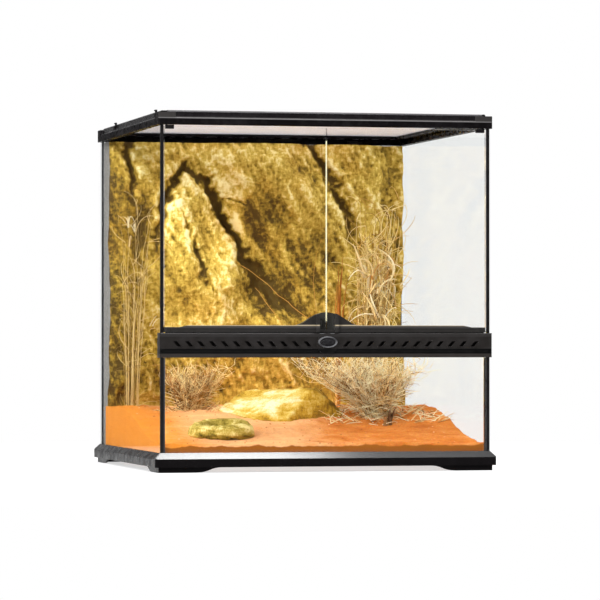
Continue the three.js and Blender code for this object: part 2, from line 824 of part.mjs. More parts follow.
function lid() {
  const outer = rimInner + gap;
  const inner = outer + lidWidth;
  const foot = lidSeat + gap;
  const section = [
    [outer, foot],
    [outer, lidTop - 0.8],
    [outer + 0.8, lidTop],
    [inner - 2, lidTop],
    [inner, lidTop - 2],
    [inner, meshBottom + meshThick + gap],
    [inner - meshGroove, meshBottom + meshThick + gap],
    [inner - meshGroove, meshBottom - gap],
    [inner, meshBottom - gap],
    [inner, foot],
  ];
  const flange = outline([
    [-topY + outer + 1, frameTop + gap],
    [-topY + outer - lidFlange, frameTop + gap],
    [-topY + outer - lidFlange + lidBevel, lidTop],
    [-topY + outer + 1, lidTop],
  ]);
  const flangeHalf = topX - cornerBlock - gap;
  let frame = frameRing(section, topX, topY).add(running(flange, [-flangeHalf, flangeHalf]));
  for (const signX of [-1, 1]) {
    for (const signY of [-1, 1]) {
      const notchX = span(topX - cornerBlock - gap, topX, signX);
      const notchY = span(topY - cornerBlock - gap, topY, signY);
      frame = frame.subtract(box(notchX, notchY, [foot - 1, lidTop + 1]));
    }
  }
  place("lid_frame", frame, ink);

  const meshX = topX - inner + meshGroove - gap;
  const meshY = topY - inner + meshGroove - gap;
  const meshZ = [meshBottom, meshBottom + meshThick];
  const rim = meshGroove; // the sheet's edge inside the frame's groove stays whole
  const pitchX = (2 * (meshX - rim) + meshWire) / meshSlots;
  const pitchY = (2 * (meshY - rim) + meshBar) / meshRows;
  const holes = [];
  for (let i = 0; i < meshSlots; i++) {
    for (let j = 0; j < meshRows; j++) {
      const x = -meshX + rim + i * pitchX;
      const y = -meshY + rim + j * pitchY;
      const across = [x, x + pitchX - meshWire];
      holes.push(box(across, [y, y + pitchY - meshBar], [meshZ[0] - 1, meshZ[1] + 1]));
    }
  }
  const corner = cornerBlock + gap - (inner - meshGroove);
  const sheet = box([-meshX, meshX], [-meshY, meshY], meshZ);
  let screen = sheet.subtract(wasm.Manifold.union(holes));
  if (corner > 0) {
    for (const signX of [-1, 1]) {
      for (const signY of [-1, 1]) {
        const cutX = span(meshX - corner, meshX + 1, signX);
        const cutY = span(meshY - corner, meshY + 1, signY);
        screen = screen.subtract(box(cutX, cutY, [meshBottom - 1, lidTop]));
      }
    }
  }
  place("lid_mesh", screen, wire);
}

function lidClips() {
  const names = ["front", "rear"];
  for (const [hand, side] of [["left", -1], ["right", 1]]) {
    clipPlaces.forEach((y, i) => {
      const x = side * (topX - clipInset);
      const arm = box(
        [x - clipArmWidth / 2, x + clipArmWidth / 2],
        [y, y + clipArm],
        [clipTop - clipArmThick, clipTop],
      );
      const body = arm
        .add(upright(clipArmWidth / 2 + 0.4, [x, y], [frameTop + gap, clipTop], 12))
        .add(upright(clipPinRadius, [x, y], [frameTop - clipPinDepth, frameTop + 1], 12));
      place(`lid_clip_${hand}_${names[i]}`, body, ink);
    });
  }
}

function shutters() {
  const inside = topOverhang + pane + gap;
  const slideY = [topY - inside + gap, topY - topOverhang];
  for (const [hand, side] of [["left", -1], ["right", 1]]) {
    const half = inletWidth / 2 + shutterLap;
    const across = span(inletMiddle - half, inletMiddle + half, side);
    const tabEnd = inletMiddle + inletWidth / 2 - shutterTabSet;
    const tabX = span(tabEnd - shutterTabWidth, tabEnd, side);
    const sill = frameBottom + inletSill;
    const body = box(across, slideY, [frameBottom + gap, paneTop]).add(
      box(tabX, [slideY[1] - 1, slideY[1] + shutterTab], [sill + gap, sill + inletHeight - gap]),
    );
    place(`cable_shutter_${hand}`, body, ink);
  }
}

function smooth(from, to, value) {
  const t = Math.min(1, Math.max(0, (value - from) / (to - from)));
  return t * t * (3 - 2 * t);
}

function distanceToLine(x, z, [x0, z0, x1, z1]) {
  const along = ((x - x0) * (x1 - x0) + (z - z0) * (z1 - z0)) / ((x1 - x0) ** 2 + (z1 - z0) ** 2);
  const t = Math.min(1, Math.max(0, along));
  return Math.hypot(x - x0 - t * (x1 - x0), z - z0 - t * (z1 - z0));
}

function rockThickness(x, z) {
  const u = x / stretchX;
  const v = z / stretchZ;
  let relief = 4 * Math.sin(u / 31 + v / 57) + 3 * Math.sin(v / 23 - u / 49);
  for (const [cx, cz, wide, high, out] of rockBulges) {
    relief += out * Math.exp(-(((u - cx) / wide) ** 2) - ((v - cz) / high) ** 2);
  }
  for (const crevice of rockCrevices) {
    const [, , , , wide, deep] = crevice;
    relief -= deep * Math.exp(-((distanceToLine(u, v, crevice) / wide) ** 2));
  }
  const [taperStart, taperEnd, taper] = rockTaper;
  relief -= taper * smooth(taperStart, taperEnd, u);
  return Math.max(rockLeast, rockBase + relief * smooth(reliefStart, reliefFull, z));
}

const rockHalf = innerX - sealWidth - 2 * gap;
const rockBack = innerY - gap;
const sandRear = rockBack - rockBase - gap;
const furnishFloor = floorTop + gap;

function rockWall() {
  const top = frameBottom - rockTopGap;
  const high = top - furnishFloor;
  const geometry = new THREE.BoxGeometry(2 * rockHalf, 2, high, rockColumns, 1, rockRows);
  geometry.translate(0, 0, furnishFloor + high / 2);
  const position = geometry.attributes.position;
  for (let i = 0; i < position.count; i++) {
    const x = position.getX(i);
    const z = position.getZ(i);
    position.setY(i, position.getY(i) > 0 ? rockBack : rockBack - rockThickness(x, z));
  }
  return withPlainFlats(solid(geometry), [0, rockBack - 4, furnishFloor + high / 2]);
}

function sandHeight(x, y) {
  const rise = smooth(sandRiseStart, sandRiseEnd, y);
  const ripple = sandRipple * Math.sin(x / 37 + y / 61) * Math.cos(x / 71 - y / 29);
  return sandFront + (sandBack - sandFront) * rise + ripple;
}

// The pocket that each thing leaves in the sand, and the height of its underside
const seats = [];

function seatIn(pocket, x, y) {
  const under = sandHeight(x, y) - buryDepth;
  seats.push({ pocket, under });
  return under;
}

function ellipseAt(x, y, halfX, halfY) {
  return new THREE.Shape().absellipse(x, y, halfX, halfY, 0, 2 * Math.PI);
}

function sandBed() {
  const halfX = innerX - gap;
  const y0 = lowerGlassFront + pane + gap;
  const geometry = new THREE.BoxGeometry(2 * halfX, sandRear - y0, 2, sandColumns, sandRows, 1);
  geometry.translate(0, (sandRear + y0) / 2, 0);
  const position = geometry.attributes.position;
  for (let i = 0; i < position.count; i++) {
    const x = position.getX(i);
    const y = position.getY(i);
    position.setZ(i, position.getZ(i) > 0 ? sandHeight(x, y) : furnishFloor);
  }
  let bed = withPlainFlats(solid(geometry), [0, 0, furnishFloor + 4]);
  for (const { pocket, under } of seats) {
    bed = bed.subtract(standing(pocket, [under - gap, frameTop], 10));
  }
  return bed;
}

// A basking stone with a bright face towards the front left: its foot's plan and its crest
const slab = {
  foot: [[-95, 22], [-56, -34], [-15, -47], [75, -14], [62, 45], [-58, 62]],
  crest: [[-57, 38, 25], [-66, -4, 10], [30, -26, 40], [40, 6, 33], [66, 2, 12]],
  sink: 0.5, // how far the sand's pocket stands off the foot
};

function slabStone() {
  const foot = slab.foot.map(([x, y]) => [x * stretchX, y * stretchY]);
  const middle = [0, 1].map((k) => foot.reduce((sum, p) => sum + p[k], 0) / foot.length);
  const grown = foot.map(([x, y]) => {
    const reach = Math.hypot(x - middle[0], y - middle[1]);
    const grow = (reach + slab.sink * 2) / reach;
    return [middle[0] + (x - middle[0]) * grow, middle[1] + (y - middle[1]) * grow];
  });
  const lowest = foot.reduce((a, b) => (a[1] < b[1] ? a : b));
  const under = seatIn(outline(grown), ...lowest);
  const corners = [];
  for (const [x, y] of foot) {
    corners.push(new THREE.Vector3(x, y, under), new THREE.Vector3(x, y, sandHeight(x, y) + 1));
  }
  for (const [drawnX, drawnY, rise] of slab.crest) {
    const [x, y] = [drawnX * stretchX, drawnY * stretchY];
    corners.push(new THREE.Vector3(x, y, sandHeight(x, y) + rise * stretchZ));
  }
  return solid(new ConvexGeometry(corners));
}

const dish = { x: -121, y: -119, halfX: 47, halfY: 33, high: 23, hollow: 0.565, tilt: 0.2 };

// A stone with a worn hollow, wider than it is deep
function dishStone() {
  const { hollow, tilt } = dish;
  const [x, halfX] = [dish.x * stretchX, dish.halfX * stretchX];
  const [y, halfY] = [dish.y * stretchY, dish.halfY * stretchY];
  const high = dish.high * stretchZ;
  const under = seatIn(ellipseAt(x, y, halfX + 1, halfY + 1), x, y);
  const profile = [
    [0, 0],
    [0.9, 0],
    [1, 0.25],
    [0.94, 0.7],
    [0.82, 0.96],
    [0.74, 1],
    [0.64, 0.94],
    [0.52, 1 - hollow],
    [0, 1 - 1.15 * hollow],
  ].map(([r, h]) => new THREE.Vector2(r, h));
  const geometry = new THREE.LatheGeometry(profile, 24).rotateX(Math.PI / 2);
  const position = geometry.attributes.position;
  for (let i = 0; i < position.count; i++) {
    const angle = Math.atan2(position.getY(i), position.getX(i));
    const lump = 1 - 0.05 * Math.sin(3 * angle + 1) ** 2;
    const dip = 1 + tilt * Math.sin(angle + 0.4) * Math.min(1, position.getZ(i));
    position.setXYZ(
      i,
      x + halfX * lump * position.getX(i),
      y + halfY * lump * position.getY(i),
      under + high * position.getZ(i) * dip,
    );
  }
  return solid(geometry);
}

// Stiff strands on a spiral plan, all bent outwards by one rule so that none meet
function tuft(grass) {
  const { fromLeft, fromRight, root, strands, splay, lean, deep } = grass;
  const x = fromLeft ? fromLeft - halfWidth : halfWidth - fromRight;
  const y = grass.y * stretchY;
  const height = grass.height * stretchZ;
  const under = seatIn(ellipseAt(x, y, root + 2, (root + 2) * deep), x, y);
  const golden = Math.PI * (3 - Math.sqrt(5));
  const cake = new THREE.CylinderGeometry(root * 0.9, root + 1, buryDepth + 2, 16);
  const bodies = [solid(cake.rotateX(Math.PI / 2).translate(0, 0, (buryDepth + 2) / 2))];
  const thick = Math.min(1.1, (root / Math.sqrt(strands)) * 0.5);
  for (let i = 0; i < strands; i++) {
    const out = root * 0.86 * Math.sqrt((i + 0.5) / strands);
    const turn = i * golden;
    const long = height * (0.62 + 0.38 * ((i * 0.618) % 1));
    const steps = Math.max(2, Math.round(height / 90));
    const strand = new THREE.CylinderGeometry(0, thick, long, 3, steps);
    strand.rotateX(Math.PI / 2).translate(out * Math.cos(turn), out * Math.sin(turn), long / 2 + 2);
    bodies.push(solid(strand));
  }
  const geometry = geometryOf(wasm.Manifold.union(bodies));
  const position = geometry.attributes.position;
  for (let i = 0; i < position.count; i++) {
    const z = position.getZ(i);
    const bend = (Math.max(0, z - buryDepth) / height) ** 1.6;
    const spread = 1 + splay * bend;
    position.setXYZ(
      i,
      x + lean * bend + position.getX(i) * spread,
      y + position.getY(i) * deep * spread,
      under + z,
    );
  }
  return geometry;
}

place("base_frame", baseFrame(), ink);
glassBox();
seals();
cornerTrims();
place("vent_strip", ventStrip(), ink);
lock();
doors();
place("top_frame", topFrame(), ink);
lid();
lidClips();
shutters();
place("rock_wall", rockWall(), rock);
place("slab_stone", slabStone(), stone);
place("dish_stone", dishStone(), stone);
for (const [name, grass] of Object.entries(grassTufts)) {
  place(name, tuft(grass), straw);
}
place("sand_bed", sandBed(), sand);

export default cabinet;
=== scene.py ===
import json
import math

import bmesh
import bpy
import numpy as np
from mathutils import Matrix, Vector, noise
from mathutils.bvhtree import BVHTree

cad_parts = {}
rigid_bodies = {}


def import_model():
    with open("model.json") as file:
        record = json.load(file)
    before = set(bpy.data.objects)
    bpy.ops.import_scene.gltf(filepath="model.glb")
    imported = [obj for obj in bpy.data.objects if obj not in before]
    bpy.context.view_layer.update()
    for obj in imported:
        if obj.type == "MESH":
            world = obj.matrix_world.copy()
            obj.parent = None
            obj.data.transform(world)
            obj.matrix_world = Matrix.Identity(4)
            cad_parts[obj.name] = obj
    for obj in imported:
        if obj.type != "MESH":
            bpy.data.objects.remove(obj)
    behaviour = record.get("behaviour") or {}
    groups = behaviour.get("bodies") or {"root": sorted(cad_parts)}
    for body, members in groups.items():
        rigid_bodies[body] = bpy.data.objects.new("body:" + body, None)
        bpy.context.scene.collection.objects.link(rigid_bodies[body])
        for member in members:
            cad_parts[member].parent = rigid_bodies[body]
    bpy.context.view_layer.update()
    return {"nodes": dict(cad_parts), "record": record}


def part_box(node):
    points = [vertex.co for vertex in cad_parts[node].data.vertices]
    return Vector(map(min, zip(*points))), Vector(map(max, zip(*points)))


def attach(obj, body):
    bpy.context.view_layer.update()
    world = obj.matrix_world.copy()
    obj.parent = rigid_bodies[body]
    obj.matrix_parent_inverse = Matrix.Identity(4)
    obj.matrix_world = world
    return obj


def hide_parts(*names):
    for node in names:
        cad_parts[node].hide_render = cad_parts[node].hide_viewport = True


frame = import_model()
cadNodes = frame["nodes"]
scene = bpy.context.scene
mm = 0.001


# small tools for objects and node trees; most find the tree from the values that they are given

def addObject(name, data):
    made = bpy.data.objects.new(name, data)
    scene.collection.objects.link(made)
    return made


def addMesh(name, points, faces=()):
    mesh = bpy.data.meshes.new(name)
    mesh.from_pydata(points, [], faces)
    return addObject(name, mesh)


def addNode(tree, kind, inputs=None, **settings):
    made = tree.nodes.new(kind)
    for name, value in settings.items():
        setattr(made, name, value)
    for name, value in (inputs or {}).items():
        socket = made.inputs[name]
        if isinstance(value, bpy.types.NodeSocket):
            tree.links.new(value, socket)
        else:
            socket.default_value = value
    return made


def treeOf(*values):
    return next(value.id_data for value in values if isinstance(value, bpy.types.NodeSocket))


def calc(operation, *values):
    return addNode(treeOf(*values), "ShaderNodeMath", dict(enumerate(values)), operation=operation).outputs[0]


def times(first, second):
    return calc("MULTIPLY", first, second)


def plus(first, second):
    return calc("ADD", first, second)


def less(first, second):
    return calc("SUBTRACT", first, second)


def blendColour(factor, first, second, how="MIX"):
    inputs = {0: factor, 6: first, 7: second}
    return addNode(treeOf(factor, first, second), "ShaderNodeMix", inputs, data_type="RGBA", blend_type=how).outputs[2]


def colourRamp(factor, stops):
    made = addNode(factor.id_data, "ShaderNodeValToRGB", {0: factor})
    points = made.color_ramp.elements
    while len(points) < len(stops):
        points.new(0.5)
    for point, (place, colour) in zip(points, stops):
        point.position = place
        point.color = (*colour, 1)
    return made.outputs[0]


def valueRange(value, low, high, newLow=0.0, newHigh=1.0):
    inputs = dict(enumerate((value, low, high, newLow, newHigh)))
    return addNode(value.id_data, "ShaderNodeMapRange", inputs, clamp=True).outputs[0]


def noiseValue(vector, scale, detail=3.0, roughness=0.55, distortion=0.0):
    inputs = {"Vector": vector, "Scale": scale, "Detail": detail, "Roughness": roughness, "Distortion": distortion}
    return addNode(vector.id_data, "ShaderNodeTexNoise", inputs).outputs[0]


def stretched(vector, scale, turn=(0, 0, 0)):
    inputs = {"Vector": vector, "Scale": scale, "Rotation": turn}
    return addNode(vector.id_data, "ShaderNodeMapping", inputs).outputs[0]


def newGroup(name, inputs, outputs, kind="ShaderNodeTree"):
    group = bpy.data.node_groups.new(name, kind)
    for way, sockets in (("INPUT", inputs), ("OUTPUT", outputs)):
        for title, sort, *value in sockets:
            socket = group.interface.new_socket(name=title, in_out=way, socket_type="NodeSocket" + sort)
            if value:
                socket.default_value = value[0]
    return group, group.nodes.new("NodeGroupInput").outputs, group.nodes.new("NodeGroupOutput").inputs


def useGroup(tree, group, values):
    return addNode(tree, "ShaderNodeGroup", values, node_tree=group).outputs


def newMaterial(name, **sockets):
    material = bpy.data.materials.new(name)
    material.use_nodes = True
    tree = material.node_tree
    for title, value in sockets.items():
        tree.nodes["Principled BSDF"].inputs[title.replace("_", " ")].default_value = value
    return material, tree, tree.nodes.new("ShaderNodeTexCoord").outputs["Object"]


# leads a value into the material's shader
def feed(value, title="Base Color"):
    tree = value.id_data
    tree.links.new(value, tree.nodes["Principled BSDF"].inputs[title])


def bumpFrom(height, distance, strength=1.0, **normal):
    values = {"Height": height, "Distance": distance, "Strength": strength, **normal}
    feed(addNode(height.id_data, "ShaderNodeBump", values).outputs[0], "Normal")


def paintedSoFar(tree):
    return tree.nodes["Principled BSDF"].inputs["Base Color"].links[0].from_socket


def axes(tree):
    place = tree.nodes["Texture Coordinate"].outputs["Object"]
    return addNode(tree, "ShaderNodeSeparateXYZ", {0: place}).outputs


def stored(tree, name):
    return addNode(tree, "ShaderNodeAttribute", attribute_name=name).outputs["Fac"]


def mixSurface(factor, first, second):
    tree = factor.id_data
    mixed = addNode(tree, "ShaderNodeMixShader", {0: factor, 1: first, 2: second})
    tree.links.new(mixed.outputs[0], tree.nodes["Material Output"].inputs["Surface"])


# 1 for the rays that show a thing as it is, and 0 for those that only light others
def seenRays(tree):
    rays = tree.nodes.new("ShaderNodeLightPath").outputs
    either = calc("MAXIMUM", rays["Is Camera Ray"], rays["Is Glossy Ray"])
    return calc("MAXIMUM", either, rays["Is Transmission Ray"])


# shared effects

def mouldedGrainGroup():
    group, given, out = newGroup(
        "mouldedGrain",
        [("Place", "Vector"), ("Colour", "Color", (0.02, 0.02, 0.02, 1)),
         ("Dust colour", "Color", (0.1, 0.09, 0.1, 1)), ("Dust", "Float", 0.2), ("Grain", "Float", 2500.0),
         ("Roughness", "Float", 0.4)],
        [("Colour", "Color"), ("Roughness", "Float"), ("Height", "Float")])
    cloud = noiseValue(given["Place"], 16.0, 4.0, 0.6)
    smears = noiseValue(given["Place"], 75.0, 3.0, 0.6)
    dusty = times(valueRange(times(cloud, smears), 0.16, 0.42), given["Dust"])
    colour = blendColour(dusty, given["Colour"], given["Dust colour"])
    grain = noiseValue(given["Place"], given["Grain"], 1.0, 0.4)
    wobble = valueRange(smears, 0.3, 0.7, -0.07, 0.1)
    rough = plus(plus(given["Roughness"], wobble), times(dusty, 0.3))
    for title, value in (("Colour", colour), ("Roughness", rough), ("Height", grain)):
        group.links.new(value, out[title])
    return group


# a mottled four-colour surface: hollows dark, edges pale, with fine strokes over both; the Hollow and Shade it is
# given carry painted shade and painted light as well as paint
def dryBrushAndShadeGroup():
    group, given, out = newGroup(
        "dryBrushAndShade",
        [("Place", "Vector"), ("Hollow", "Float", 0.5), ("Shade", "Float", 0.0),
         ("Dark", "Color", (0.1, 0.06, 0.01, 1)), ("Low", "Color", (0.3, 0.2, 0.03, 1)),
         ("High", "Color", (0.58, 0.4, 0.08, 1)), ("Pale", "Color", (0.87, 0.75, 0.3, 1)),
         ("Patch size", "Float", 22.0), ("Stroke size", "Float", 420.0), ("Strokes", "Float", 0.5)],
        [("Colour", "Color"), ("Height", "Float")])
    patch = noiseValue(given["Place"], given["Patch size"], 5.0, 0.62, 0.4)
    lines = noiseValue(stretched(given["Place"], (1, 1, 0.28), (0, 0.5, 0)), given["Stroke size"], 3.0, 0.7, 0.6)
    across = noiseValue(stretched(given["Place"], (0.35, 1, 1), (0, -0.7, 0)), given["Stroke size"], 2.0, 0.7, 0.3)
    stroke = plus(times(lines, 0.6), times(across, 0.4))
    level = plus(given["Hollow"], valueRange(patch, 0.3, 0.7, -0.24, 0.24))
    brushed = times(valueRange(stroke, 0.36, 0.64, -0.5, 0.5), given["Strokes"])
    level = less(plus(level, brushed), given["Shade"])
    lower = blendColour(valueRange(level, 0.05, 0.36), given["Dark"], given["Low"])
    upper = blendColour(valueRange(level, 0.62, 0.95), given["High"], given["Pale"])
    colour = blendColour(valueRange(level, 0.34, 0.64), lower, upper)
    group.links.new(colour, out["Colour"])
    group.links.new(stroke, out["Height"])
    return group


mouldedGrain = mouldedGrainGroup()
dryBrushAndShade = dryBrushAndShadeGroup()


# finishes

nearBlack = (0.0065, 0.0055, 0.006, 1)
bevelRadius = 0.5 * mm


def blackPlastic(name, colour=nearBlack, roughness=0.36, dust=0.08, shine=0.16, grain=0.25, **more):
    material, tree, place = newMaterial(name, Roughness=roughness, Specular_IOR_Level=shine, **more)
    made = useGroup(tree, mouldedGrain, {"Place": place, "Colour": colour, "Roughness": roughness, "Dust": dust})
    feed(made["Colour"])
    feed(made["Roughness"], "Roughness")
    edge = addNode(tree, "ShaderNodeBevel", {"Radius": bevelRadius}, samples=4)
    bumpFrom(made["Height"], 0.05 * mm, grain, Normal=edge.outputs[0])
    return material


# the base's front ledge is polished, the rest of the base is satin
polishedLedge = {"before": -0.2232, "over": 0.0178}


def ledgePlastic(name):
    material = blackPlastic(name, roughness=0.24, dust=0.02, shine=0.03, grain=0.05, Coat_Roughness=0.15)
    tree = material.node_tree
    apart = axes(tree)
    ahead = calc("LESS_THAN", apart[1], polishedLedge["before"])
    above = calc("GREATER_THAN", apart[2], polishedLedge["over"])
    feed(times(ahead, above), "Coat Weight")
    return material


# painted light in bands by height on the front: painted highlights where the moulded lip and the rounded top edge
# catch the light, painted reflections along rims, and painted shade in the strip's groove
def paintedBandPlastic(name, bands, before=1.0, colour=nearBlack, roughness=0.36, shine=0.16, grain=0.25, soft=0.4):
    material = blackPlastic(name, colour, roughness, shine=shine, grain=grain)
    tree = material.node_tree
    colour = paintedSoFar(tree)
    apart = axes(tree)
    ahead = calc("LESS_THAN", apart[1], before)
    for low, high, paint in bands:
        over = valueRange(apart[2], (low - soft) * mm, (low + soft) * mm)
        under = valueRange(apart[2], (high - soft) * mm, (high + soft) * mm, 1.0, 0.0)
        inPaintedBand = times(times(over, under), ahead)
        colour = blendColour(inPaintedBand, colour, (*paint, 1))
    feed(colour)
    return material


# an oval face with a painted highlight on its rim, brighter in places
def rimHighlightPlastic(name, node):
    material = blackPlastic(name, (0.016, 0.015, 0.017, 1), 0.28, 0.1, 0.4)
    tree = material.node_tree
    low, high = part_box(node)
    middle = (low + high) / 2
    half = (high - low) / 2
    apart = axes(tree)
    across = calc("DIVIDE", less(apart[0], middle.x), half.x)
    up = calc("DIVIDE", less(apart[2], middle.z), half.z)
    away = calc("SQRT", plus(times(across, across), times(up, up)))
    # the ring and its brighter places are a painted highlight
    rimHighlight = times(valueRange(away, 0.78, 0.84), valueRange(apart[1], -0.231, -0.2305, 1, 0))
    lit = valueRange(calc("ABSOLUTE", less(up, times(across, 0.7))), 0.2, 0.9, 0.25, 1.0)
    rimHighlight = times(rimHighlight, lit)
    feed(blendColour(rimHighlight, paintedSoFar(tree), (0.2, 0.2, 0.21, 1)))
    return material


def paneGlass(name, bending, tint=(0.99, 0.998, 0.993, 1)):
    material, tree, place = newMaterial(
        name, Base_Color=tint, Roughness=0.0, IOR=bending, Transmission_Weight=1.0, Metallic=0.0)
    clear = addNode(tree, "ShaderNodeBsdfTransparent", {0: (0.93, 0.97, 0.95, 1)})
    shadow = tree.nodes.new("ShaderNodeLightPath").outputs["Is Shadow Ray"]
    mixSurface(shadow, tree.nodes["Principled BSDF"].outputs[0], clear.outputs[0])
    film = noiseValue(place, 9.0, 4.0, 0.6)
    clean = valueRange(film, 0.35, 0.7, 1.0, 0.85)
    feed(blendColour(clean, (0.96, 0.988, 0.972, 1), tint))
    return material


def groundEdgeGlow(name):
    # ground glass with a painted glow: the emission makes the edge shine as if it caught the light
    material, _, place = newMaterial(name, Roughness=0.5, Specular_IOR_Level=0.5, Emission_Strength=0.25)
    streak = noiseValue(stretched(place, (1, 1, 0.1)), 1500.0, 2.0)
    colour = blendColour(streak, (0.82, 0.8, 0.62, 1), (1.0, 0.96, 0.8, 1))
    feed(colour)
    feed(colour, "Emission Color")
    bumpFrom(streak, 0.05 * mm)
    return material


def siliconeBead(name):
    material, tree, place = newMaterial(name, Roughness=0.35)
    made = useGroup(tree, mouldedGrain, {"Place": place, "Colour": (0.012, 0.012, 0.013, 1), "Roughness": 0.32,
            "Dust": 0.1, "Grain": 300.0})
    feed(made["Colour"])
    feed(made["Roughness"], "Roughness")
    bumpFrom(made["Height"], 0.2 * mm, 0.5)
    return material


def zincSteel(name):
    material, _, place = newMaterial(name, Metallic=1.0)
    lines = noiseValue(stretched(place, (1, 1, 0.05)), 4000.0, 2.0, 0.7)
    flakes = noiseValue(place, 260.0, 2.0)
    colour = blendColour(flakes, (0.46, 0.47, 0.5, 1), (0.66, 0.66, 0.66, 1))
    feed(colour)
    feed(valueRange(lines, 0.2, 0.8, 0.25, 0.42), "Roughness")
    bumpFrom(lines, 0.03 * mm)
    return material


def screenWire(name):
    material, _, place = newMaterial(name, Roughness=0.4, Metallic=0.1)
    patch = noiseValue(place, 30.0, 4.0)
    colour = blendColour(patch, (0.78, 0.74, 0.77, 1), (0.92, 0.9, 0.92, 1))
    feed(colour)
    bumpFrom(noiseValue(place, 2500.0, 1.0), 0.05 * mm, 0.5)
    return material


def foamRock(name):
    material, tree, place = newMaterial(name, Roughness=0.85, Specular_IOR_Level=0.25)
    hollow = stored(tree, "hollow")
    shade = stored(tree, "shade")
    made = useGroup(tree, dryBrushAndShade, {
        "Place": place, "Hollow": hollow, "Shade": shade, "Dark": (0.09, 0.05, 0.007, 1),
        "Low": (0.36, 0.22, 0.024, 1), "High": (0.66, 0.45, 0.085, 1), "Pale": (0.96, 0.82, 0.42, 1),
        "Patch size": 13.0, "Stroke size": 230.0, "Strokes": 0.4})
    stain = valueRange(noiseValue(place, 8.5, 5.0, 0.65), 0.47, 0.68, 0.0, 0.6)
    stained = blendColour(1.0, made["Colour"], (0.86, 0.66, 0.42, 1), "MULTIPLY")
    feed(blendColour(stain, made["Colour"], stained))
    pits = addNode(tree, "ShaderNodeTexVoronoi", {"Vector": place, "Scale": 420.0}).outputs["Distance"]
    height = plus(made["Height"], times(pits, 0.35))
    bumpFrom(height, 1.3 * mm, 0.6)
    return material


# bare foam at the panel's cut edges and back
def rawFoam(name):
    material, tree, place = newMaterial(name, Roughness=0.9, Specular_IOR_Level=0.2)
    cells = addNode(tree, "ShaderNodeTexVoronoi", {"Vector": place, "Scale": 330.0}).outputs["Distance"]
    patch = noiseValue(place, 12.0, 4.0)
    colour = blendColour(patch, (0.13, 0.12, 0.115, 1), (0.24, 0.225, 0.215, 1))
    colour = blendColour(times(cells, 0.5), colour, (0.35, 0.33, 0.31, 1))
    feed(colour)
    bumpFrom(cells, 0.4 * mm, 0.5)
    return material


# painted shade: a wavy darker band low on the sand's front face behind the front pane, where light from above doesn't
# reach; the left side is a little darker
sandDarkening = {"level": 26.5 * mm, "wave": 15 * mm, "front": (-0.2176, -0.2168), "side": (-0.215, -0.14)}


def looseSand(name):
    material, tree, place = newMaterial(name, Roughness=0.95, Specular_IOR_Level=0.2)
    apart = axes(tree)
    drift = noiseValue(stretched(place, (0.8, 1.3, 1)), 24.0, 8.0, 0.72, 0.3)
    grains = noiseValue(place, 1300.0, 2.0, 0.7)
    coarse = addNode(tree, "ShaderNodeTexVoronoi", {"Vector": place, "Scale": 900.0}).outputs["Color"]
    colour = colourRamp(drift, [(0.28, (0.56, 0.13, 0.015)), (0.46, (0.84, 0.28, 0.06)),
            (0.58, (0.93, 0.38, 0.12)), (0.74, (1.0, 0.56, 0.3))])
    speck = blendColour(0.28, colour, coarse, "SOFT_LIGHT")
    speck = blendColour(0.6, speck, colourRamp(grains, [(0.3, (0.4, 0.33, 0.28)), (0.7, (1, 1, 1))]), "MULTIPLY")
    # the painted shade band lies below a wavy line on the front face
    wave = noiseValue(stretched(place, (1, 0, 0)), 26.0, 3.0, 0.6)
    line = plus(sandDarkening["level"], times(wave, sandDarkening["wave"]))
    shadeBand = valueRange(less(line, apart[2]), -0.6 * mm, 0.8 * mm)
    near = valueRange(apart[1], *sandDarkening["front"], 1.0, 0.0)
    beside = valueRange(apart[0], *sandDarkening["side"], 0.8, 0.0)
    speck = blendColour(beside, speck, (0.86, 0.285, 0.025, 1))
    patches = noiseValue(place, 10.0, 3.0, 0.6)
    leftward = plus(apart[0], valueRange(patches, 0.3, 0.7, -0.09, 0.09))
    pale = less(valueRange(leftward, -0.06, 0.07, 0.42, 0.0), beside)
    speck = blendColour(calc("MAXIMUM", pale, 0.0), speck, (1.0, 0.6, 0.3, 1))
    deep = blendColour(1.0, speck, (0.93, 0.8, 0.52, 1), "MULTIPLY")
    speck = blendColour(valueRange(leftward, 0.02, 0.12), speck, deep)
    shadedSand = blendColour(times(shadeBand, near), speck, (0.31, 0.088, 0.008, 1))
    feed(shadedSand)
    bumpFrom(plus(grains, times(drift, 2.0)), 1.6 * mm, 0.8)
    return material


def sandGrit(name):
    material, _, place = newMaterial(name, Roughness=0.9, Specular_IOR_Level=0.2)
    tone = noiseValue(place, 60.0, 3.0, 0.8)
    colour = colourRamp(tone, [(0.36, (0.22, 0.06, 0.012)), (0.52, (0.62, 0.2, 0.05)), (0.66, (0.95, 0.6, 0.34))])
    feed(colour)
    bumpFrom(noiseValue(place, 1800.0), 0.2 * mm)
    return material


def layeredStone(name, dark, low, high, pale, turn, strata=70.0):
    material, tree, place = newMaterial(name, Roughness=0.85, Specular_IOR_Level=0.3)
    hollow = stored(tree, "hollow")
    bands = noiseValue(stretched(place, (0.12, 0.12, 1), turn), strata, 4.0, 0.6, 0.3)
    level = plus(hollow, valueRange(bands, 0.3, 0.7, -0.3, 0.3))
    made = useGroup(tree, dryBrushAndShade, {"Place": place, "Hollow": level, "Dark": dark, "Low": low,
            "High": high, "Pale": pale, "Patch size": 45.0, "Stroke size": 500.0,
            "Strokes": 0.35})
    feed(made["Colour"])
    bumpFrom(plus(made["Height"], bands), 1.2 * mm, 0.7)
    return material


def dryStem(name, dark, middle, pale):
    material, tree, place = newMaterial(name, Roughness=0.7, Specular_IOR_Level=0.3)
    each = stored(tree, "strand")
    patch = noiseValue(place, 70.0, 3.0, 0.6)
    level = plus(times(each, 0.6), times(patch, 0.4))
    colour = colourRamp(level, [(0.24, dark), (0.4, middle), (0.62, pale)])
    fibres = noiseValue(stretched(place, (1, 1, 0.08)), 2600.0, 2.0)
    colour = blendColour(0.35, colour, colourRamp(fibres, [(0.3, (0.5, 0.45, 0.4)), (0.7, (1, 1, 1))]), "MULTIPLY")
    feed(colour)
    bumpFrom(fibres, 0.15 * mm)
    return material


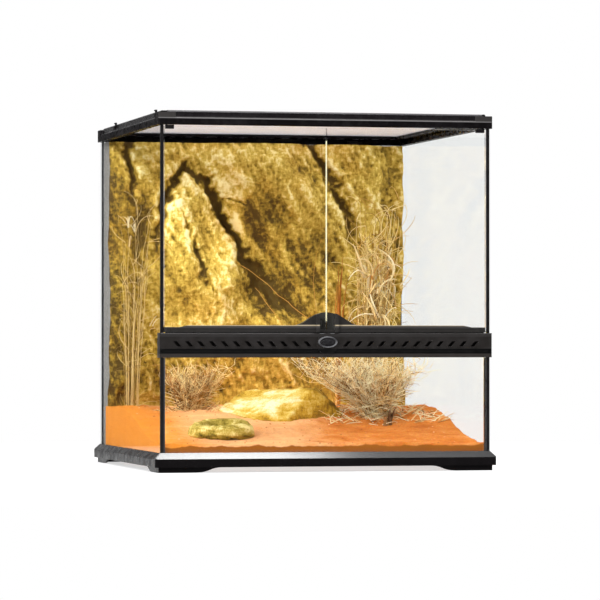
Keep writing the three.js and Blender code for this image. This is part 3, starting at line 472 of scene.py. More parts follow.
plastic = blackPlastic("satinBlackPlastic")
knobPlastic = rimHighlightPlastic("glossyBlackPlastic", "lock_knob")
basePlastic = ledgePlastic("polishedBlackPlastic")
# the strip's bands: painted highlights on the lower lip and the rounded top, painted shade in the groove between them
stripPlastic = paintedBandPlastic("stripPlastic", [(151, 156.5, (0.036, 0.031, 0.028)), (156.5, 163, (0.003, 0.003, 0.003)),
        (179, 184.5, (0.032, 0.029, 0.028))], colour=(0.019, 0.0165, 0.015, 1))
# the lid's band is a painted reflection of the overhead light on its front flange
lidPlastic = paintedBandPlastic("lidPlastic", [(464, 479, (0.085, 0.08, 0.085))], -0.2215,
        roughness=0.22, shine=0.08, grain=0.05)
# the rails' bands: a painted highlight on the bead and a painted reflection, a thin cream line, along the top edge
railPlastic = paintedBandPlastic("railPlastic", [(190.5, 193.2, (0.06, 0.055, 0.053)), (193.4, 194.7, (0.6, 0.5, 0.34))],
        -0.2252, colour=(0.026, 0.024, 0.022, 1))
# the top frame's bands: a painted highlight on the front band and a brighter painted highlight along the ridge line
topPlastic = paintedBandPlastic("topPlastic", [(467.8, 476, (0.05, 0.046, 0.045)), (466.6, 467.8, (0.2, 0.19, 0.19))],
        -0.2275, roughness=0.24, shine=0.04, grain=0.05)
glass = paneGlass("floatGlass", 1.4)
sideGlass = paneGlass("floatGlassSide", 1.08)
edgeGlassGlow = groundEdgeGlow("groundGlassEdgeGlow")
bead = siliconeBead("blackSilicone")
steel = zincSteel("zincPlatedSteel")
wire = screenWire("wovenScreenWire")
rock = foamRock("paintedFoamRock")
foam = rawFoam("bareFoam")
sand = looseSand("orangeSand")
grit = sandGrit("darkGrit")
slabRock = layeredStone("sandstoneSlab", (0.2, 0.1, 0.006, 1), (0.46, 0.26, 0.014, 1), (0.58, 0.41, 0.1, 1),
        (0.72, 0.6, 0.38, 1), (0.1, 0.25, 0))
dishRock = layeredStone("mossyStone", (0.045, 0.03, 0.004, 1), (0.22, 0.155, 0.014, 1), (0.42, 0.295, 0.05, 1),
        (0.72, 0.58, 0.24, 1), (0.3, 0.1, 0), 40.0)
paleTwig = dryStem("paleTwig", (0.26, 0.1, 0.02), (0.95, 0.66, 0.28), (1.0, 0.93, 0.62))
redTwig = dryStem("redTwig", (0.11, 0.033, 0.006), (0.6, 0.28, 0.06), (1.0, 0.79, 0.38))
reedStraw = dryStem("reedStraw", (0.24, 0.1, 0.01), (0.66, 0.37, 0.07), (0.98, 0.76, 0.34))
reedDark = dryStem("reedDark", (0.16, 0.08, 0.01), (0.44, 0.26, 0.05), (0.86, 0.62, 0.25))
twigStraw = dryStem("twigStraw", (0.5, 0.24, 0.03), (0.74, 0.46, 0.12), (0.9, 0.66, 0.26))
barkStub = dryStem("barkStub", (0.05, 0.02, 0.006), (0.12, 0.05, 0.015), (0.3, 0.15, 0.05))
brightStraw = dryStem("brightStraw", (0.62, 0.3, 0.06), (0.92, 0.66, 0.28), (1.0, 0.88, 0.58))
orangeStraw = dryStem("orangeStraw", (0.42, 0.13, 0.01), (0.66, 0.25, 0.03), (0.85, 0.45, 0.12))

finishes = {"black_plastic": plastic, "glass": glass, "silicone": bead, "zinc_steel": steel, "screen_wire": wire,
        "rock_foam": rock, "sand": sand, "stone": slabRock, "dry_grass": paleTwig}
for part in frame["record"]["subparts"]:
    node = cadNodes[part["node"]]
    node.data.materials.clear()
    node.data.materials.append(finishes[part["material_slot"]])
cadNodes["lock_knob"].data.materials[0] = knobPlastic
for pane in ("left_glass", "right_glass"):
    cadNodes[pane].data.materials[0] = sideGlass
cadNodes["base_frame"].data.materials[0] = basePlastic
cadNodes["vent_strip"].data.materials[0] = stripPlastic
cadNodes["lid_frame"].data.materials[0] = lidPlastic
cadNodes["top_frame"].data.materials[0] = topPlastic
for rail in ("left_door_rail", "right_door_rail"):
    cadNodes[rail].data.materials[0] = railPlastic
print("finishes are on the CAD nodes")


# rock panel

rockPanel = {
    "half": 218.0, "back": 220.7, "foot": 20.6, "top": 457.3, "columns": 296, "rows": 292,
    "base": 30.0, "least": 8.0, "reliefStart": 95.0, "reliefFull": 118.0, "taper": (120.0, 225.0, 14.0),
    # [x, z, half width, half height, how far it stands out]
    "bulges": [(-200, 260, 26, 170, 16), (-118, 300, 34, 100, 24), (-92, 205, 40, 75, 20), (-48, 262, 26, 55, 24),
        (-20, 405, 62, 50, 30), (50, 385, 40, 60, 22), (30, 180, 46, 40, 16), (120, 415, 34, 50, 14),
        (110, 250, 60, 110, 10), (-165, 425, 30, 40, 14)],
    # each runs through its points: [x, z, half width, depth]
    "crevices": [[(-152, 296, 8, 4), (-140, 366, 10, 20), (-120, 408, 11, 24), (-106, 426, 12, 26), (-84, 406, 11, 28),
        (-64, 374, 12, 34), (-46, 338, 12, 34), (-30, 308, 12, 30), (-10, 276, 16, 24), (16, 236, 22, 18),
        (84, 206, 24, 8)],
        [(-190, 462, 9, 20), (-188, 420, 8, 20), (-184, 376, 5, 4)],
        [(74, 462, 12, 24), (108, 402, 10, 24), (134, 354, 12, 20), (150, 286, 14, 4)],
        [(-96, 326, 4, 3), (-98, 300, 6, 11), (-84, 264, 7, 13), (-72, 240, 5, 3)],
        [(-119, 360, 3, 3), (-108, 338, 5, 9), (-104, 322, 3, 3)],
        [(-60, 378, 3, 10), (-24, 371, 2.5, 3)], [(195, 460, 22, 16), (200, 180, 22, 16)]],
    "sway": 7.0, "swaySize": 30.0,
    # [x, z, half width, half height, how much darker it is painted]: partly painted shade, such as the shadowed recess
    # near x -172, and partly the rock's own browner and paler paint
    "shades": [(30, 240, 62, 52, 0.34), (150, 270, 50, 110, 0.16), (-172, 334, 12, 36, 0.6), (78, 292, 40, 60, 0.2),
        (-120, 120, 160, 40, 0.16), (-206, 250, 24, 260, 0.36), (-6, 352, 30, 30, 0.26), (-34, 341, 8, 24, -0.6),
        (-60, 442, 26, 14, -0.22), (-48, 398, 20, 20, -0.28), (-116, 368, 16, 26, -0.2), (-110, 322, 4, 20, -0.5),
        (-54, 272, 22, 44, -0.26), (-36, 218, 26, 16, -0.28), (30, 446, 40, 14, -0.16), (118, 424, 16, 26, -0.1)],
    "fold": 9.0, "foldSize": 40.0, "crag": 2.6, "cragSize": 34.0, "lump": 0.75, "lumpSize": 12.0,
    "rough": 0.4, "roughSize": 4.5, "filled": 0.72, "narrowed": 0.8,
    "detailStart": 84, "detailFull": 100, "thinnest": 4,
    # hollows are painted darker and edges paler, each judged over a wide and a near neighbourhood, partly as the
    # rock's own paint and partly as painted shade; crevices get painted shade as well
    "widePasses": 60, "wideShare": 0.045, "nearPasses": 6, "nearShare": 0.15, "creviceShade": 0.013,
}


def smooth(low, high, value):
    t = np.clip((value - low) / (high - low), 0, 1)
    return t * t * (3 - 2 * t)


# how deep the crevices cut at each place, their widths times share, following a swaying line
def creviceDepth(x, z, share):
    s = rockPanel
    swayX = x + s["sway"] * fractal(x, z, s["swaySize"], 3, 61.0)
    swayZ = z + s["sway"] * fractal(x, z, s["swaySize"], 3, 67.0)
    depth = np.zeros_like(x)
    for run in s["crevices"]:
        for (x0, z0, wide0, deep0), (x1, z1, wide1, deep1) in zip(run, run[1:]):
            along = ((swayX - x0) * (x1 - x0) + (swayZ - z0) * (z1 - z0)) / ((x1 - x0) ** 2 + (z1 - z0) ** 2)
            t = np.clip(along, 0, 1)
            away = np.hypot(swayX - x0 - t * (x1 - x0), swayZ - z0 - t * (z1 - z0))
            wide = (wide0 + t * (wide1 - wide0)) * share
            depth = np.maximum(depth, (deep0 + t * (deep1 - deep0)) * np.exp(-((away / wide) ** 2)))
    return depth


def rockThickness(x, z):
    relief = 4 * np.sin(x / 31 + z / 57) + 3 * np.sin(z / 23 - x / 49)
    for cx, cz, wide, high, out in rockPanel["bulges"]:
        relief = relief + out * np.exp(-(((x - cx) / wide) ** 2) - ((z - cz) / high) ** 2)
    relief = relief - rockPanel["filled"] * creviceDepth(x, z, rockPanel["narrowed"])
    start, end, thin = rockPanel["taper"]
    relief = relief - thin * smooth(start, end, x)
    full = rockPanel["base"] + relief * smooth(rockPanel["reliefStart"], rockPanel["reliefFull"], z)
    return np.maximum(rockPanel["least"], full)


def fractal(x, y, size, octaves, offset):
    points = np.stack([x.ravel() / size, y.ravel() / size], 1)
    values = [noise.fractal(Vector((a, b, offset)), 0.75, 2.1, octaves) for a, b in points]
    return np.array(values).reshape(x.shape)


def softened(values, passes):
    for _ in range(passes):
        padded = np.pad(values, 1, mode="edge")
        values = (padded[:-2, 1:-1] + padded[2:, 1:-1] + padded[1:-1, :-2] + padded[1:-1, 2:]
                + 2 * padded[1:-1, 1:-1]) / 6
    return values


# a closed block: a fine front given as rows of points, and four plain corners behind it
def gridBlock(name, points, corners):
    rows, columns = points.shape[:2]
    index = np.arange(rows * columns).reshape(rows, columns)
    quads = np.stack([index[:-1, :-1], index[:-1, 1:], index[1:, 1:], index[1:, :-1]], -1).reshape(-1, 4)
    first = rows * columns
    a, b, c, d = range(first, first + 4)
    sides = [[*index[0, ::-1], a, b], [*index[::-1, -1], b, c], [*index[-1, :], c, d], [*index[:, 0], d, a],
            [a, d, c, b]]
    faces = quads.tolist() + [[int(i) for i in side] for side in sides]
    piece = addMesh(name, np.vstack([points.reshape(-1, 3), corners]).tolist(), faces)
    piece.data.polygons.foreach_set("use_smooth", [True] * len(quads) + [False] * len(sides))
    piece.data.update()
    return piece


def pointValue(piece, name, values):
    layer = piece.data.attributes.new(name, "FLOAT", "POINT")
    full = np.zeros(len(piece.data.vertices), np.float32)
    full[:values.size] = values.ravel()
    layer.data.foreach_set("value", full)


def makeRock():
    s = rockPanel
    x, z = np.meshgrid(np.linspace(-s["half"], s["half"], s["columns"]), np.linspace(s["foot"], s["top"], s["rows"]))
    thick = rockThickness(x, z)
    crag = np.abs(fractal(x, z, s["cragSize"], 4, 3.1))
    lump = fractal(x, z * 0.7, s["lumpSize"], 4, 11.7)
    rough = fractal(x, z, s["roughSize"], 3, 27.3)
    fade = smooth(s["detailStart"], s["detailFull"], z)
    fold = fractal(x + 0.55 * z, z * 0.3, s["foldSize"], 3, 41.5)
    detail = s["fold"] * (0.35 + fold) + s["crag"] * (1.1 - 2 * crag) + s["lump"] * lump + s["rough"] * rough
    front = s["back"] - thick - detail * fade
    front = np.minimum(front, s["back"] - s["thinnest"])
    points = np.stack([x, front, z], -1) * mm
    corners = np.array([(-s["half"], s["back"], s["foot"]), (s["half"], s["back"], s["foot"]),
            (s["half"], s["back"], s["top"]), (-s["half"], s["back"], s["top"])]) * mm
    piece = gridBlock("rockWallRelief", points, corners)
    out = -front
    wide = out - softened(out, s["widePasses"])
    near = out - softened(out, s["nearPasses"])
    hollow = 0.5 + s["wideShare"] * wide + s["nearShare"] * near
    pointValue(piece, "hollow", np.clip(hollow, 0, 1))
    # painted shade and paint tones from the shades list, with painted shade along the crevices
    shade = np.zeros_like(x)
    for cx, cz, halfX, halfZ, amount in s["shades"]:
        shade += amount * np.exp(-(((x - cx) / halfX) ** 2) - ((z - cz) / halfZ) ** 2)
    pointValue(piece, "shade", shade + s["creviceShade"] * creviceDepth(x, z, 0.5))
    piece.data.materials.append(rock)
    piece.data.materials.append(foam)
    for face in list(piece.data.polygons)[-5:]:
        face.material_index = 1
    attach(piece, "cabinet")
    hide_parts("rock_wall")


makeRock()
print("rock panel made")


# sand

sandBed = {"half": 220.7, "front": -218.2, "rear": 190.4, "foot": 20.6, "low": 37.0, "high": 80.0,
        "riseStart": -200.0, "riseEnd": 70.0, "ripple": 1.6, "columns": 250, "rows": 232,
        "drift": 2.1, "driftSize": 30.0, "grit": 0.7, "gritSize": 5.5}


def sandHeight(x, y):
    s = sandBed
    rise = smooth(s["riseStart"], s["riseEnd"], y)
    ripple = s["ripple"] * np.sin(x / 37 + y / 61) * np.cos(x / 71 - y / 29)
    return s["low"] + (s["high"] - s["low"]) * rise + ripple


def makeSand():
    s = sandBed
    x, y = np.meshgrid(np.linspace(-s["half"], s["half"], s["columns"]), np.linspace(s["front"], s["rear"], s["rows"]))
    top = sandHeight(x, y) + s["drift"] * fractal(x * 0.7, y, s["driftSize"], 3, 5.0)
    top = top + s["grit"] * fractal(x, y, s["gritSize"], 2, 9.0)
    points = np.stack([x, y, top], -1) * mm
    corners = np.array([(-s["half"], s["front"], s["foot"]), (s["half"], s["front"], s["foot"]),
            (s["half"], s["rear"], s["foot"]), (-s["half"], s["rear"], s["foot"])]) * mm
    piece = gridBlock("sandSurface", points, corners)
    piece.data.materials.append(sand)
    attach(piece, "cabinet")
    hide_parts("sand_bed")


makeSand()
sandFaces = bpy.data.objects["sandSurface"].data
sandTop = BVHTree.FromPolygons([v.co for v in sandFaces.vertices], [f.vertices for f in sandFaces.polygons])


# the made sand's height under each place, in millimetres
def sandUnder(x, y):
    hits = [sandTop.ray_cast(Vector((a * mm, b * mm, 0.2)), Vector((0, 0, -1)))[0] for a, b in zip(x, y)]
    return np.array([hit.z for hit in hits]) / mm


print("sand made")


# stones

# the last three entries place each stone's painted shade: its middle, its half sizes and how dark it is
stones = {
    "slab_stone": {"piece": "slabFacets", "cuts": 4, "rough": 1.6, "size": 17.0, "fine": 0.6, "look": slabRock,
        "strata": 1.1, "shadeMiddle": (60, 0), "shadeHalf": (50, 60), "shadeAmount": 0.3},
    "dish_stone": {"piece": "dishWorn", "cuts": 3, "rough": 1.1, "size": 13.0, "fine": 0.5, "look": dishRock,
        "strata": 0.4, "shadeMiddle": (-123, -119), "shadeHalf": (20, 16), "shadeAmount": 0.9},
}


def makeStone(node, s):
    mesh = cadNodes[node].data.copy()
    work = bmesh.new()
    work.from_mesh(mesh)
    bmesh.ops.remove_doubles(work, verts=work.verts, dist=0.01 * mm)
    bmesh.ops.triangulate(work, faces=work.faces)
    for _ in range(s["cuts"]):
        long = [e for e in work.edges if e.calc_length() > 3.2 * mm]
        bmesh.ops.subdivide_edges(work, edges=long, cuts=1, use_grid_fill=False)
        bmesh.ops.triangulate(work, faces=work.faces)
    work.normal_update()
    rest = {v: (v.co.copy(), v.normal.copy()) for v in work.verts}
    hollow = []
    for v, (place, normal) in rest.items():
        at = place / mm
        rough = noise.fractal(at / s["size"], 0.8, 2.1, 4)
        layer = noise.noise(Vector((at.x * 0.02, at.y * 0.02, (at.z + 0.2 * at.x) * 0.42)))
        fine = noise.fractal(at / 3.0, 0.8, 2.0, 2)
        push = s["rough"] * rough + s["strata"] * layer + s["fine"] * fine
        v.co = place + normal * push * mm
        # painted light and shade: faces that look up are painted paler, and painted shade darkens the dish's hollow
        # and the slab's right flank
        shaded = math.exp(-sum(((at[i] - s["shadeMiddle"][i]) / s["shadeHalf"][i]) ** 2 for i in (0, 1)))
        hollow.append(0.5 + 0.3 * rough + 0.25 * layer + 0.15 * (normal.z - 0.3) - s["shadeAmount"] * shaded)
    work.to_mesh(mesh)
    work.free()
    piece = addObject(s["piece"], mesh)
    pointValue(piece, "hollow", np.clip(np.array(hollow), 0, 1))
    mesh.materials.clear()
    mesh.materials.append(s["look"])
    mesh.polygons.foreach_set("use_smooth", [True] * len(mesh.polygons))
    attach(piece, "cabinet")
    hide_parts(node)


for node, sizes in stones.items():
    makeStone(node, sizes)
print("stones made")


# geometry node trees

def newTree(name, **kinds):
    tree, given, out = newGroup(name, kinds.items(), [("Geometry", "Geometry")], "GeometryNodeTree")
    return tree, given, out[0]


def geo(tree, kind, inputs=None, **settings):
    return addNode(tree, "GeometryNode" + kind, inputs, **settings).outputs[0]


inMillimetres = ("half", "level", "pitch", "thickness", "root", "height", "lean", "curl", "twigLength", "place",
        "length", "wide", "start", "middle", "end", "small", "large")


# runs a tree once, with the settings that it has sockets for, and keeps the result as a plain mesh
def treePiece(name, tree, values, points=()):
    holder = addMesh(name + "Maker", points)
    modifier = holder.modifiers.new("nodes", "NODES")
    modifier.node_group = tree
    for item in tree.interface.items_tree:
        if item.name in values:
            value = values[item.name]
            if item.name in inMillimetres:
                value = tuple(v * mm for v in value) if isinstance(value, tuple) else value * mm
            modifier[item.identifier] = float(value) if item.socket_type == "NodeSocketFloat" else value
    view = bpy.context.evaluated_depsgraph_get()
    mesh = bpy.data.meshes.new_from_object(holder.evaluated_get(view))
    mesh.name = name
    holder.modifiers.remove(modifier)
    bpy.data.objects.remove(holder)
    return addObject(name, mesh)


def finishTree(geometry, material, target):
    tree = geometry.id_data
    real = geo(tree, "RealizeInstances", {0: geometry})
    tree.links.new(geo(tree, "SetMaterial", {"Geometry": real, "Material": material}), target)


def vectorOf(x, y, z):
    return addNode(treeOf(x, y, z), "ShaderNodeCombineXYZ", {0: x, 1: y, 2: z}).outputs[0]


def vectorCalc(operation, *values, **named):
    inputs = {**dict(enumerate(values)), **named}
    return addNode(treeOf(*values), "ShaderNodeVectorMath", inputs, operation=operation).outputs[0]


def randomValue(kind, low, high, seed):
    slot = 2 if kind == "FLOAT" else 0
    inputs = {slot: low, slot + 1: high, "Seed": seed}
    return addNode(seed.id_data, "FunctionNodeRandomValue", inputs, data_type=kind).outputs[slot // 2]


# a noise that pushes both ways
def centredNoise(vector, scale, detail, middle=(0.5, 0.5, 0.5)):
    sway = addNode(vector.id_data, "ShaderNodeTexNoise", {"Vector": vector, "Scale": scale, "Detail": detail})
    return vectorCalc("SUBTRACT", sway.outputs["Color"], middle)


# each stem gets a number of its own, which its material reads for its colour
def numbered(points, seed):
    inputs = {"Geometry": points, "Name": "strand", "Value": randomValue("FLOAT", 0.0, 1.0, seed)}
    return geo(points.id_data, "StoreNamedAttribute", inputs, data_type="FLOAT", domain="POINT")


def ringOf(tree, sides):
    return geo(tree, "CurvePrimitiveCircle", {"Resolution": sides, "Radius": 1.0})


def stemsAlong(curves, ring, radius):
    inputs = {"Curve": curves, "Profile Curve": ring, "Scale": radius, "Fill Caps": True}
    return geo(curves.id_data, "CurveToMesh", inputs)


def bezier(steps, start, middle, end):
    inputs = {"Resolution": steps, "Start": start, "Middle": middle, "End": end}
    return geo(end.id_data, "CurveQuadraticBezier", inputs)


cabinRoom = {"low": (-0.2172, -0.2172, 0.0), "high": (0.2172, 0.2, 0.457)}


# what would push through a pane lies against it
def keptInside(geometry):
    tree = geometry.id_data
    least = vectorCalc("MAXIMUM", geo(tree, "InputPosition"), cabinRoom["low"])
    most = vectorCalc("MINIMUM", least, cabinRoom["high"])
    return geo(tree, "SetPosition", {"Geometry": geometry, "Position": most})


# lid screen

lidScreen = {"half": 215.3, "level": 472.05, "pitch": 1.9, "thickness": 0.5, "sides": 4, "material": wire}
wireApart = 0.42


# two layers of wires, one along each axis
def screenTree():
    tree, given, target = newTree("screenWires", half="Float", level="Float", pitch="Float", thickness="Float",
            sides="Int", material="Material")
    half = given["half"]
    start = times(half, -1.0)
    count = calc("FLOOR", calc("DIVIDE", times(half, 2.0), given["pitch"]))
    ring = geo(tree, "CurvePrimitiveCircle", {"Resolution": given["sides"], "Radius": times(given["thickness"], 0.5)})
    along = plus(start, times(plus(geo(tree, "InputIndex"), 0.5), given["pitch"]))
    both = tree.nodes.new("GeometryNodeJoinGeometry")
    for axis, shift in ((0, wireApart), (1, -wireApart)):
        level = plus(given["level"], times(given["thickness"], shift))
        ends = [vectorOf(*((end, 0.0, level), (0.0, end, level))[axis]) for end in (start, half)]
        line = geo(tree, "CurvePrimitiveLine", {"Start": ends[0], "End": ends[1]})
        rod = geo(tree, "CurveToMesh", {"Curve": line, "Profile Curve": ring, "Fill Caps": True})
        place = vectorOf(*((0.0, along, 0.0), (along, 0.0, 0.0))[axis])
        points = geo(tree, "Points", {"Count": count, "Position": place})
        tree.links.new(geo(tree, "InstanceOnPoints", {"Points": points, "Instance": rod}), both.inputs[0])
    finishTree(both.outputs[0], given["material"], target)
    return tree


screen = treePiece("lidScreenWires", screenTree(), lidScreen)
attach(screen, "lid")
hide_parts("lid_mesh")
print("lid screen made")


# dry grass

grassTufts = {
    "scrub_left": {"piece": "scrubTuftLeft", "x": -130, "y": 42, "root": 18, "deep": 0.8, "height": 62,
        "splay": 2.8, "lean": 6, "strands": 240, "thickness": 0.6, "curl": 26, "twigs": 8,
        "twigLength": 30, "bend": 0.35, "seed": 4, "material": redTwig},
    "scrub_right": {"piece": "scrubTuftRight", "x": 120, "y": -18, "root": 19, "deep": 0.7, "height": 86,
        "splay": 6, "lean": -26, "strands": 420, "thickness": 0.65, "curl": 36, "twigs": 9,
        "twigLength": 36, "bend": 0.4, "seed": 7, "material": paleTwig},
    "reeds_left": {"piece": "reedClumpLeft", "x": -194, "y": 132, "root": 11, "deep": 1.5, "height": 305,
        "splay": 2.4, "lean": 9, "strands": 32, "thickness": 0.7, "curl": 17, "twigs": 4,
        "twigLength": 50, "bend": 0.6, "seed": 12, "material": reedDark},
    "reeds_right": {"piece": "reedClumpRight", "x": 152, "y": 120, "root": 18, "deep": 0.75, "height": 300,
        "splay": 1.9, "lean": 6, "strands": 80, "thickness": 1.0, "curl": 18, "twigs": 6,
        "twigLength": 64, "bend": 0.75, "seed": 21, "material": reedStraw},
}


goldenAngle = math.pi * (3 - math.sqrt(5))
tuftSunk = 4


# strands that stand in a spiral on the root, spread as they rise and carry short twigs
def grassTree():
    tree, given, target = newTree(
        "grassStrands", strands="Int", root="Float", deep="Float", height="Float", splay="Float", lean="Float",
        thickness="Float", curl="Float", twigs="Int", twigLength="Float", bend="Float", place="Vector", seed="Int",
        material="Material")
    height, thickness, bend, seed = (given[name] for name in ("height", "thickness", "bend", "seed"))
    index = geo(tree, "InputIndex")
    share = calc("DIVIDE", plus(index, 0.5), given["strands"])
    out = times(calc("SQRT", share), times(given["root"], 0.86))
    turn = times(index, goldenAngle)
    plan = vectorOf(times(out, calc("COSINE", turn)), times(out, calc("SINE", turn)), 0.0)
    points = numbered(geo(tree, "Points", {"Count": given["strands"], "Position": plan}), plus(seed, 31.0))
    line = geo(tree, "CurvePrimitiveLine", {"Start": (0, 0, 0), "End": (0, 0, 1)})
    fine = geo(tree, "ResampleCurve", {"Curve": line, "Count": 11})
    size = vectorOf(1.0, 1.0, times(height, randomValue("FLOAT", 0.5, 1.0, seed)))
    strands = geo(tree, "InstanceOnPoints", {"Points": points, "Instance": fine, "Scale": size})
    apart = addNode(tree, "ShaderNodeSeparateXYZ", {0: geo(tree, "InputPosition")}).outputs
    rise = calc("POWER", calc("MAXIMUM", calc("DIVIDE", apart[2], height), 0.0), 1.6)
    spread = plus(1.0, times(given["splay"], rise))
    x = plus(times(apart[0], spread), times(given["lean"], rise))
    y = times(times(apart[1], spread), given["deep"])
    key = vectorOf(times(apart[0], 700.0), times(apart[1], 700.0), calc("DIVIDE", apart[2], times(height, 0.35)))
    centred = centredNoise(key, 1.0, 2.0, (0.5, 0.5, 0.56))
    curled = times(2.0, calc("POWER", calc("MAXIMUM", rise, 0.0), 0.6))
    wander = vectorCalc("SCALE", centred, Scale=times(given["curl"], curled))
    final = vectorCalc("ADD", vectorOf(x, y, apart[2]), wander)
    real = geo(tree, "RealizeInstances", {0: strands})
    shaped = geo(tree, "SetPosition", {"Geometry": real, "Position": final})
    along = geo(tree, "SplineParameter")
    ring = ringOf(tree, 3)
    stems = stemsAlong(shaped, ring, times(thickness, less(1.0, times(along, 0.7))))

    knots = geo(tree, "CurveToPoints", {"Curve": shaped, "Count": given["twigs"]}, mode="COUNT")
    middle = vectorOf(times(bend, 0.3), 0.0, 0.6)
    end = vectorOf(bend, 0.08, less(0.95, times(bend, 0.6)))
    twigs = geo(tree, "InstanceOnPoints", {
        "Points": knots, "Instance": bezier(6, (0, 0, 0), middle, end),
        "Rotation": randomValue("FLOAT_VECTOR", (-1.15, -1.15, -3.1), (1.15, 1.15, 3.1), plus(seed, 57.0)),
        "Scale": times(given["twigLength"], randomValue("FLOAT", 0.35, 1.0, plus(seed, 83.0)))})
    thin = times(thickness, less(0.75, times(along, 0.5)))
    twigMesh = stemsAlong(geo(tree, "RealizeInstances", {0: twigs}), ring, thin)
    joined = tree.nodes.new("GeometryNodeJoinGeometry")
    for part in (stems, twigMesh):
        tree.links.new(part, joined.inputs[0])
    placed = geo(tree, "Transform", {"Geometry": joined.outputs[0], "Translation": given["place"]})
    finishTree(keptInside(placed), given["material"], target)
    return tree


strandsTree = grassTree()
for node, s in grassTufts.items():
    foot = float(sandHeight(np.array(float(s["x"])), np.array(float(s["y"])))) - tuftSunk
    tuft = treePiece(s["piece"], strandsTree, {**s, "place": (s["x"], s["y"], foot)})
    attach(tuft, "cabinet")
    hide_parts(node)
    print(s["piece"], len(tuft.data.polygons), "faces")
print("grass made")


# loose twigs and arched blades: a share of them starts on the holder's surface between low and high
looseStems = {
    "twigLitterRight": {"count": 680, "low": (42, -58, 64), "high": (208, 50, 100), "holder": "scrubTuftRight",
        "held": 0.62, "tiltLow": (0.9, -0.5, -3.1), "tiltHigh": (1.75, 0.5, 3.1), "length": 46,
        "bend": 0.25, "wide": 0.6, "flat": 1.0, "seed": 3, "material": paleTwig},
    "twigLitterLeft": {"count": 300, "low": (-172, 18, 70), "high": (-88, 70, 104), "holder": "scrubTuftLeft",
        "held": 0.6, "tiltLow": (0.8, -0.6, -3.1), "tiltHigh": (1.8, 0.6, 3.1), "length": 40,
        "bend": 0.3, "wide": 0.55, "flat": 1.0, "seed": 9, "material": redTwig},
    "archedStrawRight": {"count": 44, "low": (136, 98, 196), "high": (198, 122, 285), "holder": "reedClumpRight",
        "held": 1.0, "tiltLow": (-0.9, -1.1, -3.1), "tiltHigh": (0.9, 1.1, 3.1), "length": 78,
        "bend": 0.95, "wide": 2.3, "flat": 0.45, "seed": 14, "material": brightStraw},
    "archedStrawLeft": {"count": 9, "low": (-204, 118, 300), "high": (-186, 150, 345), "holder": "reedClumpLeft",
        "held": 1.0, "tiltLow": (-0.3, -0.3, -3.1), "tiltHigh": (0.3, 0.3, 3.1), "length": 58,
        "bend": 0.9, "wide": 1.0, "flat": 0.5, "seed": 17, "material": brightStraw},
    "orangeStalks": {"count": 16, "low": (100, 135, 74), "high": (108, 145, 77), "held": 0.0,
        "tiltLow": (-0.05, -0.06, -0.4), "tiltHigh": (0.05, 0.03, 0.4), "length": 236,
        "bend": 0.05, "wide": 1.9, "flat": 0.6, "seed": 22, "material": orangeStraw},
    "scrubStub": {"count": 6, "low": (121, -66, 47), "high": (130, -60, 52), "held": 0.0,
        "tiltLow": (-0.3, -0.3, -0.5), "tiltHigh": (0.3, 0.3, 0.5), "length": 30,
        "bend": 0.15, "wide": 3.0, "flat": 0.8, "seed": 28, "material": barkStub},
    "strawSprig": {"count": 7, "low": (-158, 120, 190), "high": (-150, 216, 198), "holder": "rockWallRelief",
        "held": 1.0, "tiltLow": (0.4, -0.5, -0.5), "tiltHigh": (0.9, 0.9, 0.5), "length": 44,
        "bend": 0.6, "wide": 0.9, "flat": 0.5, "seed": 31, "material": brightStraw},
}
rootDepth = 1.5


def bladesTree():
    tree, given, target = newTree(
        "scatteredBlades", geometry="Geometry", tiltLow="Vector", tiltHigh="Vector", length="Float", bend="Float",
        wide="Float", flat="Float", seed="Int", material="Material")
    bend, seed = given["bend"], given["seed"]
    points = numbered(given["geometry"], plus(seed, 5.0))
    middle = vectorOf(times(bend, 0.25), 0.04, 0.62)
    end = vectorOf(times(bend, 0.8), 0.0, less(0.95, times(bend, 0.7)))
    copies = geo(tree, "InstanceOnPoints", {
        "Points": points, "Instance": bezier(8, (0, 0, 0), middle, end),
        "Rotation": randomValue("FLOAT_VECTOR", given["tiltLow"], given["tiltHigh"], plus(seed, 11.0)),
        "Scale": times(given["length"], randomValue("FLOAT", 0.4, 1.0, plus(seed, 17.0)))})
    ring = geo(tree, "Transform", {"Geometry": ringOf(tree, 4), "Scale": vectorOf(1.0, given["flat"], 1.0)})
    along = geo(tree, "SplineParameter")
    taper = less(1.0, times(calc("POWER", along, 2.0), 0.85))
    real = geo(tree, "RealizeInstances", {0: copies})
    solid = stemsAlong(real, ring, times(given["wide"], taper))
    finishTree(keptInside(solid), given["material"], target)
    return tree


# where the stems start: a share of them on the surface of a made piece, the rest in the sand
def stemRoots(s):
    chance = np.random.default_rng(s["seed"])
    spots = chance.uniform(s["low"], s["high"], (s["count"], 3))
    held = round(s["count"] * s["held"])
    if held:
        mesh = bpy.data.objects[s["holder"]].data
        places = np.empty(len(mesh.vertices) * 3)
        mesh.vertices.foreach_get("co", places)
        places = places.reshape(-1, 3) / mm
        near = places[np.all((places >= s["low"]) & (places <= s["high"]), 1)]
        spots[:held] = near[chance.integers(0, len(near), held)]
    spots[held:, 2] = sandUnder(spots[held:, 0], spots[held:, 1]) - rootDepth
    return (spots * mm).tolist()


stemsTree = bladesTree()
for name, s in looseStems.items():
    stems = treePiece(name, stemsTree, s, stemRoots(s))
    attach(stems, "cabinet")
print("loose stems made")


longTwigs = {
    "leaningTwigLong": {"start": (196, 96, 74), "middle": (75, 100, 196), "end": (-54, 104, 286), "wide": 1.0},
    "leaningTwigShort": {"start": (104, 92, 74), "middle": (36, 96, 170), "end": (-26, 100, 249), "wide": 0.9},
    "archedTwigGap": {"start": (92, 96, 74), "middle": (40, 100, 260), "end": (76, 112, 318), "wide": 0.7},
}


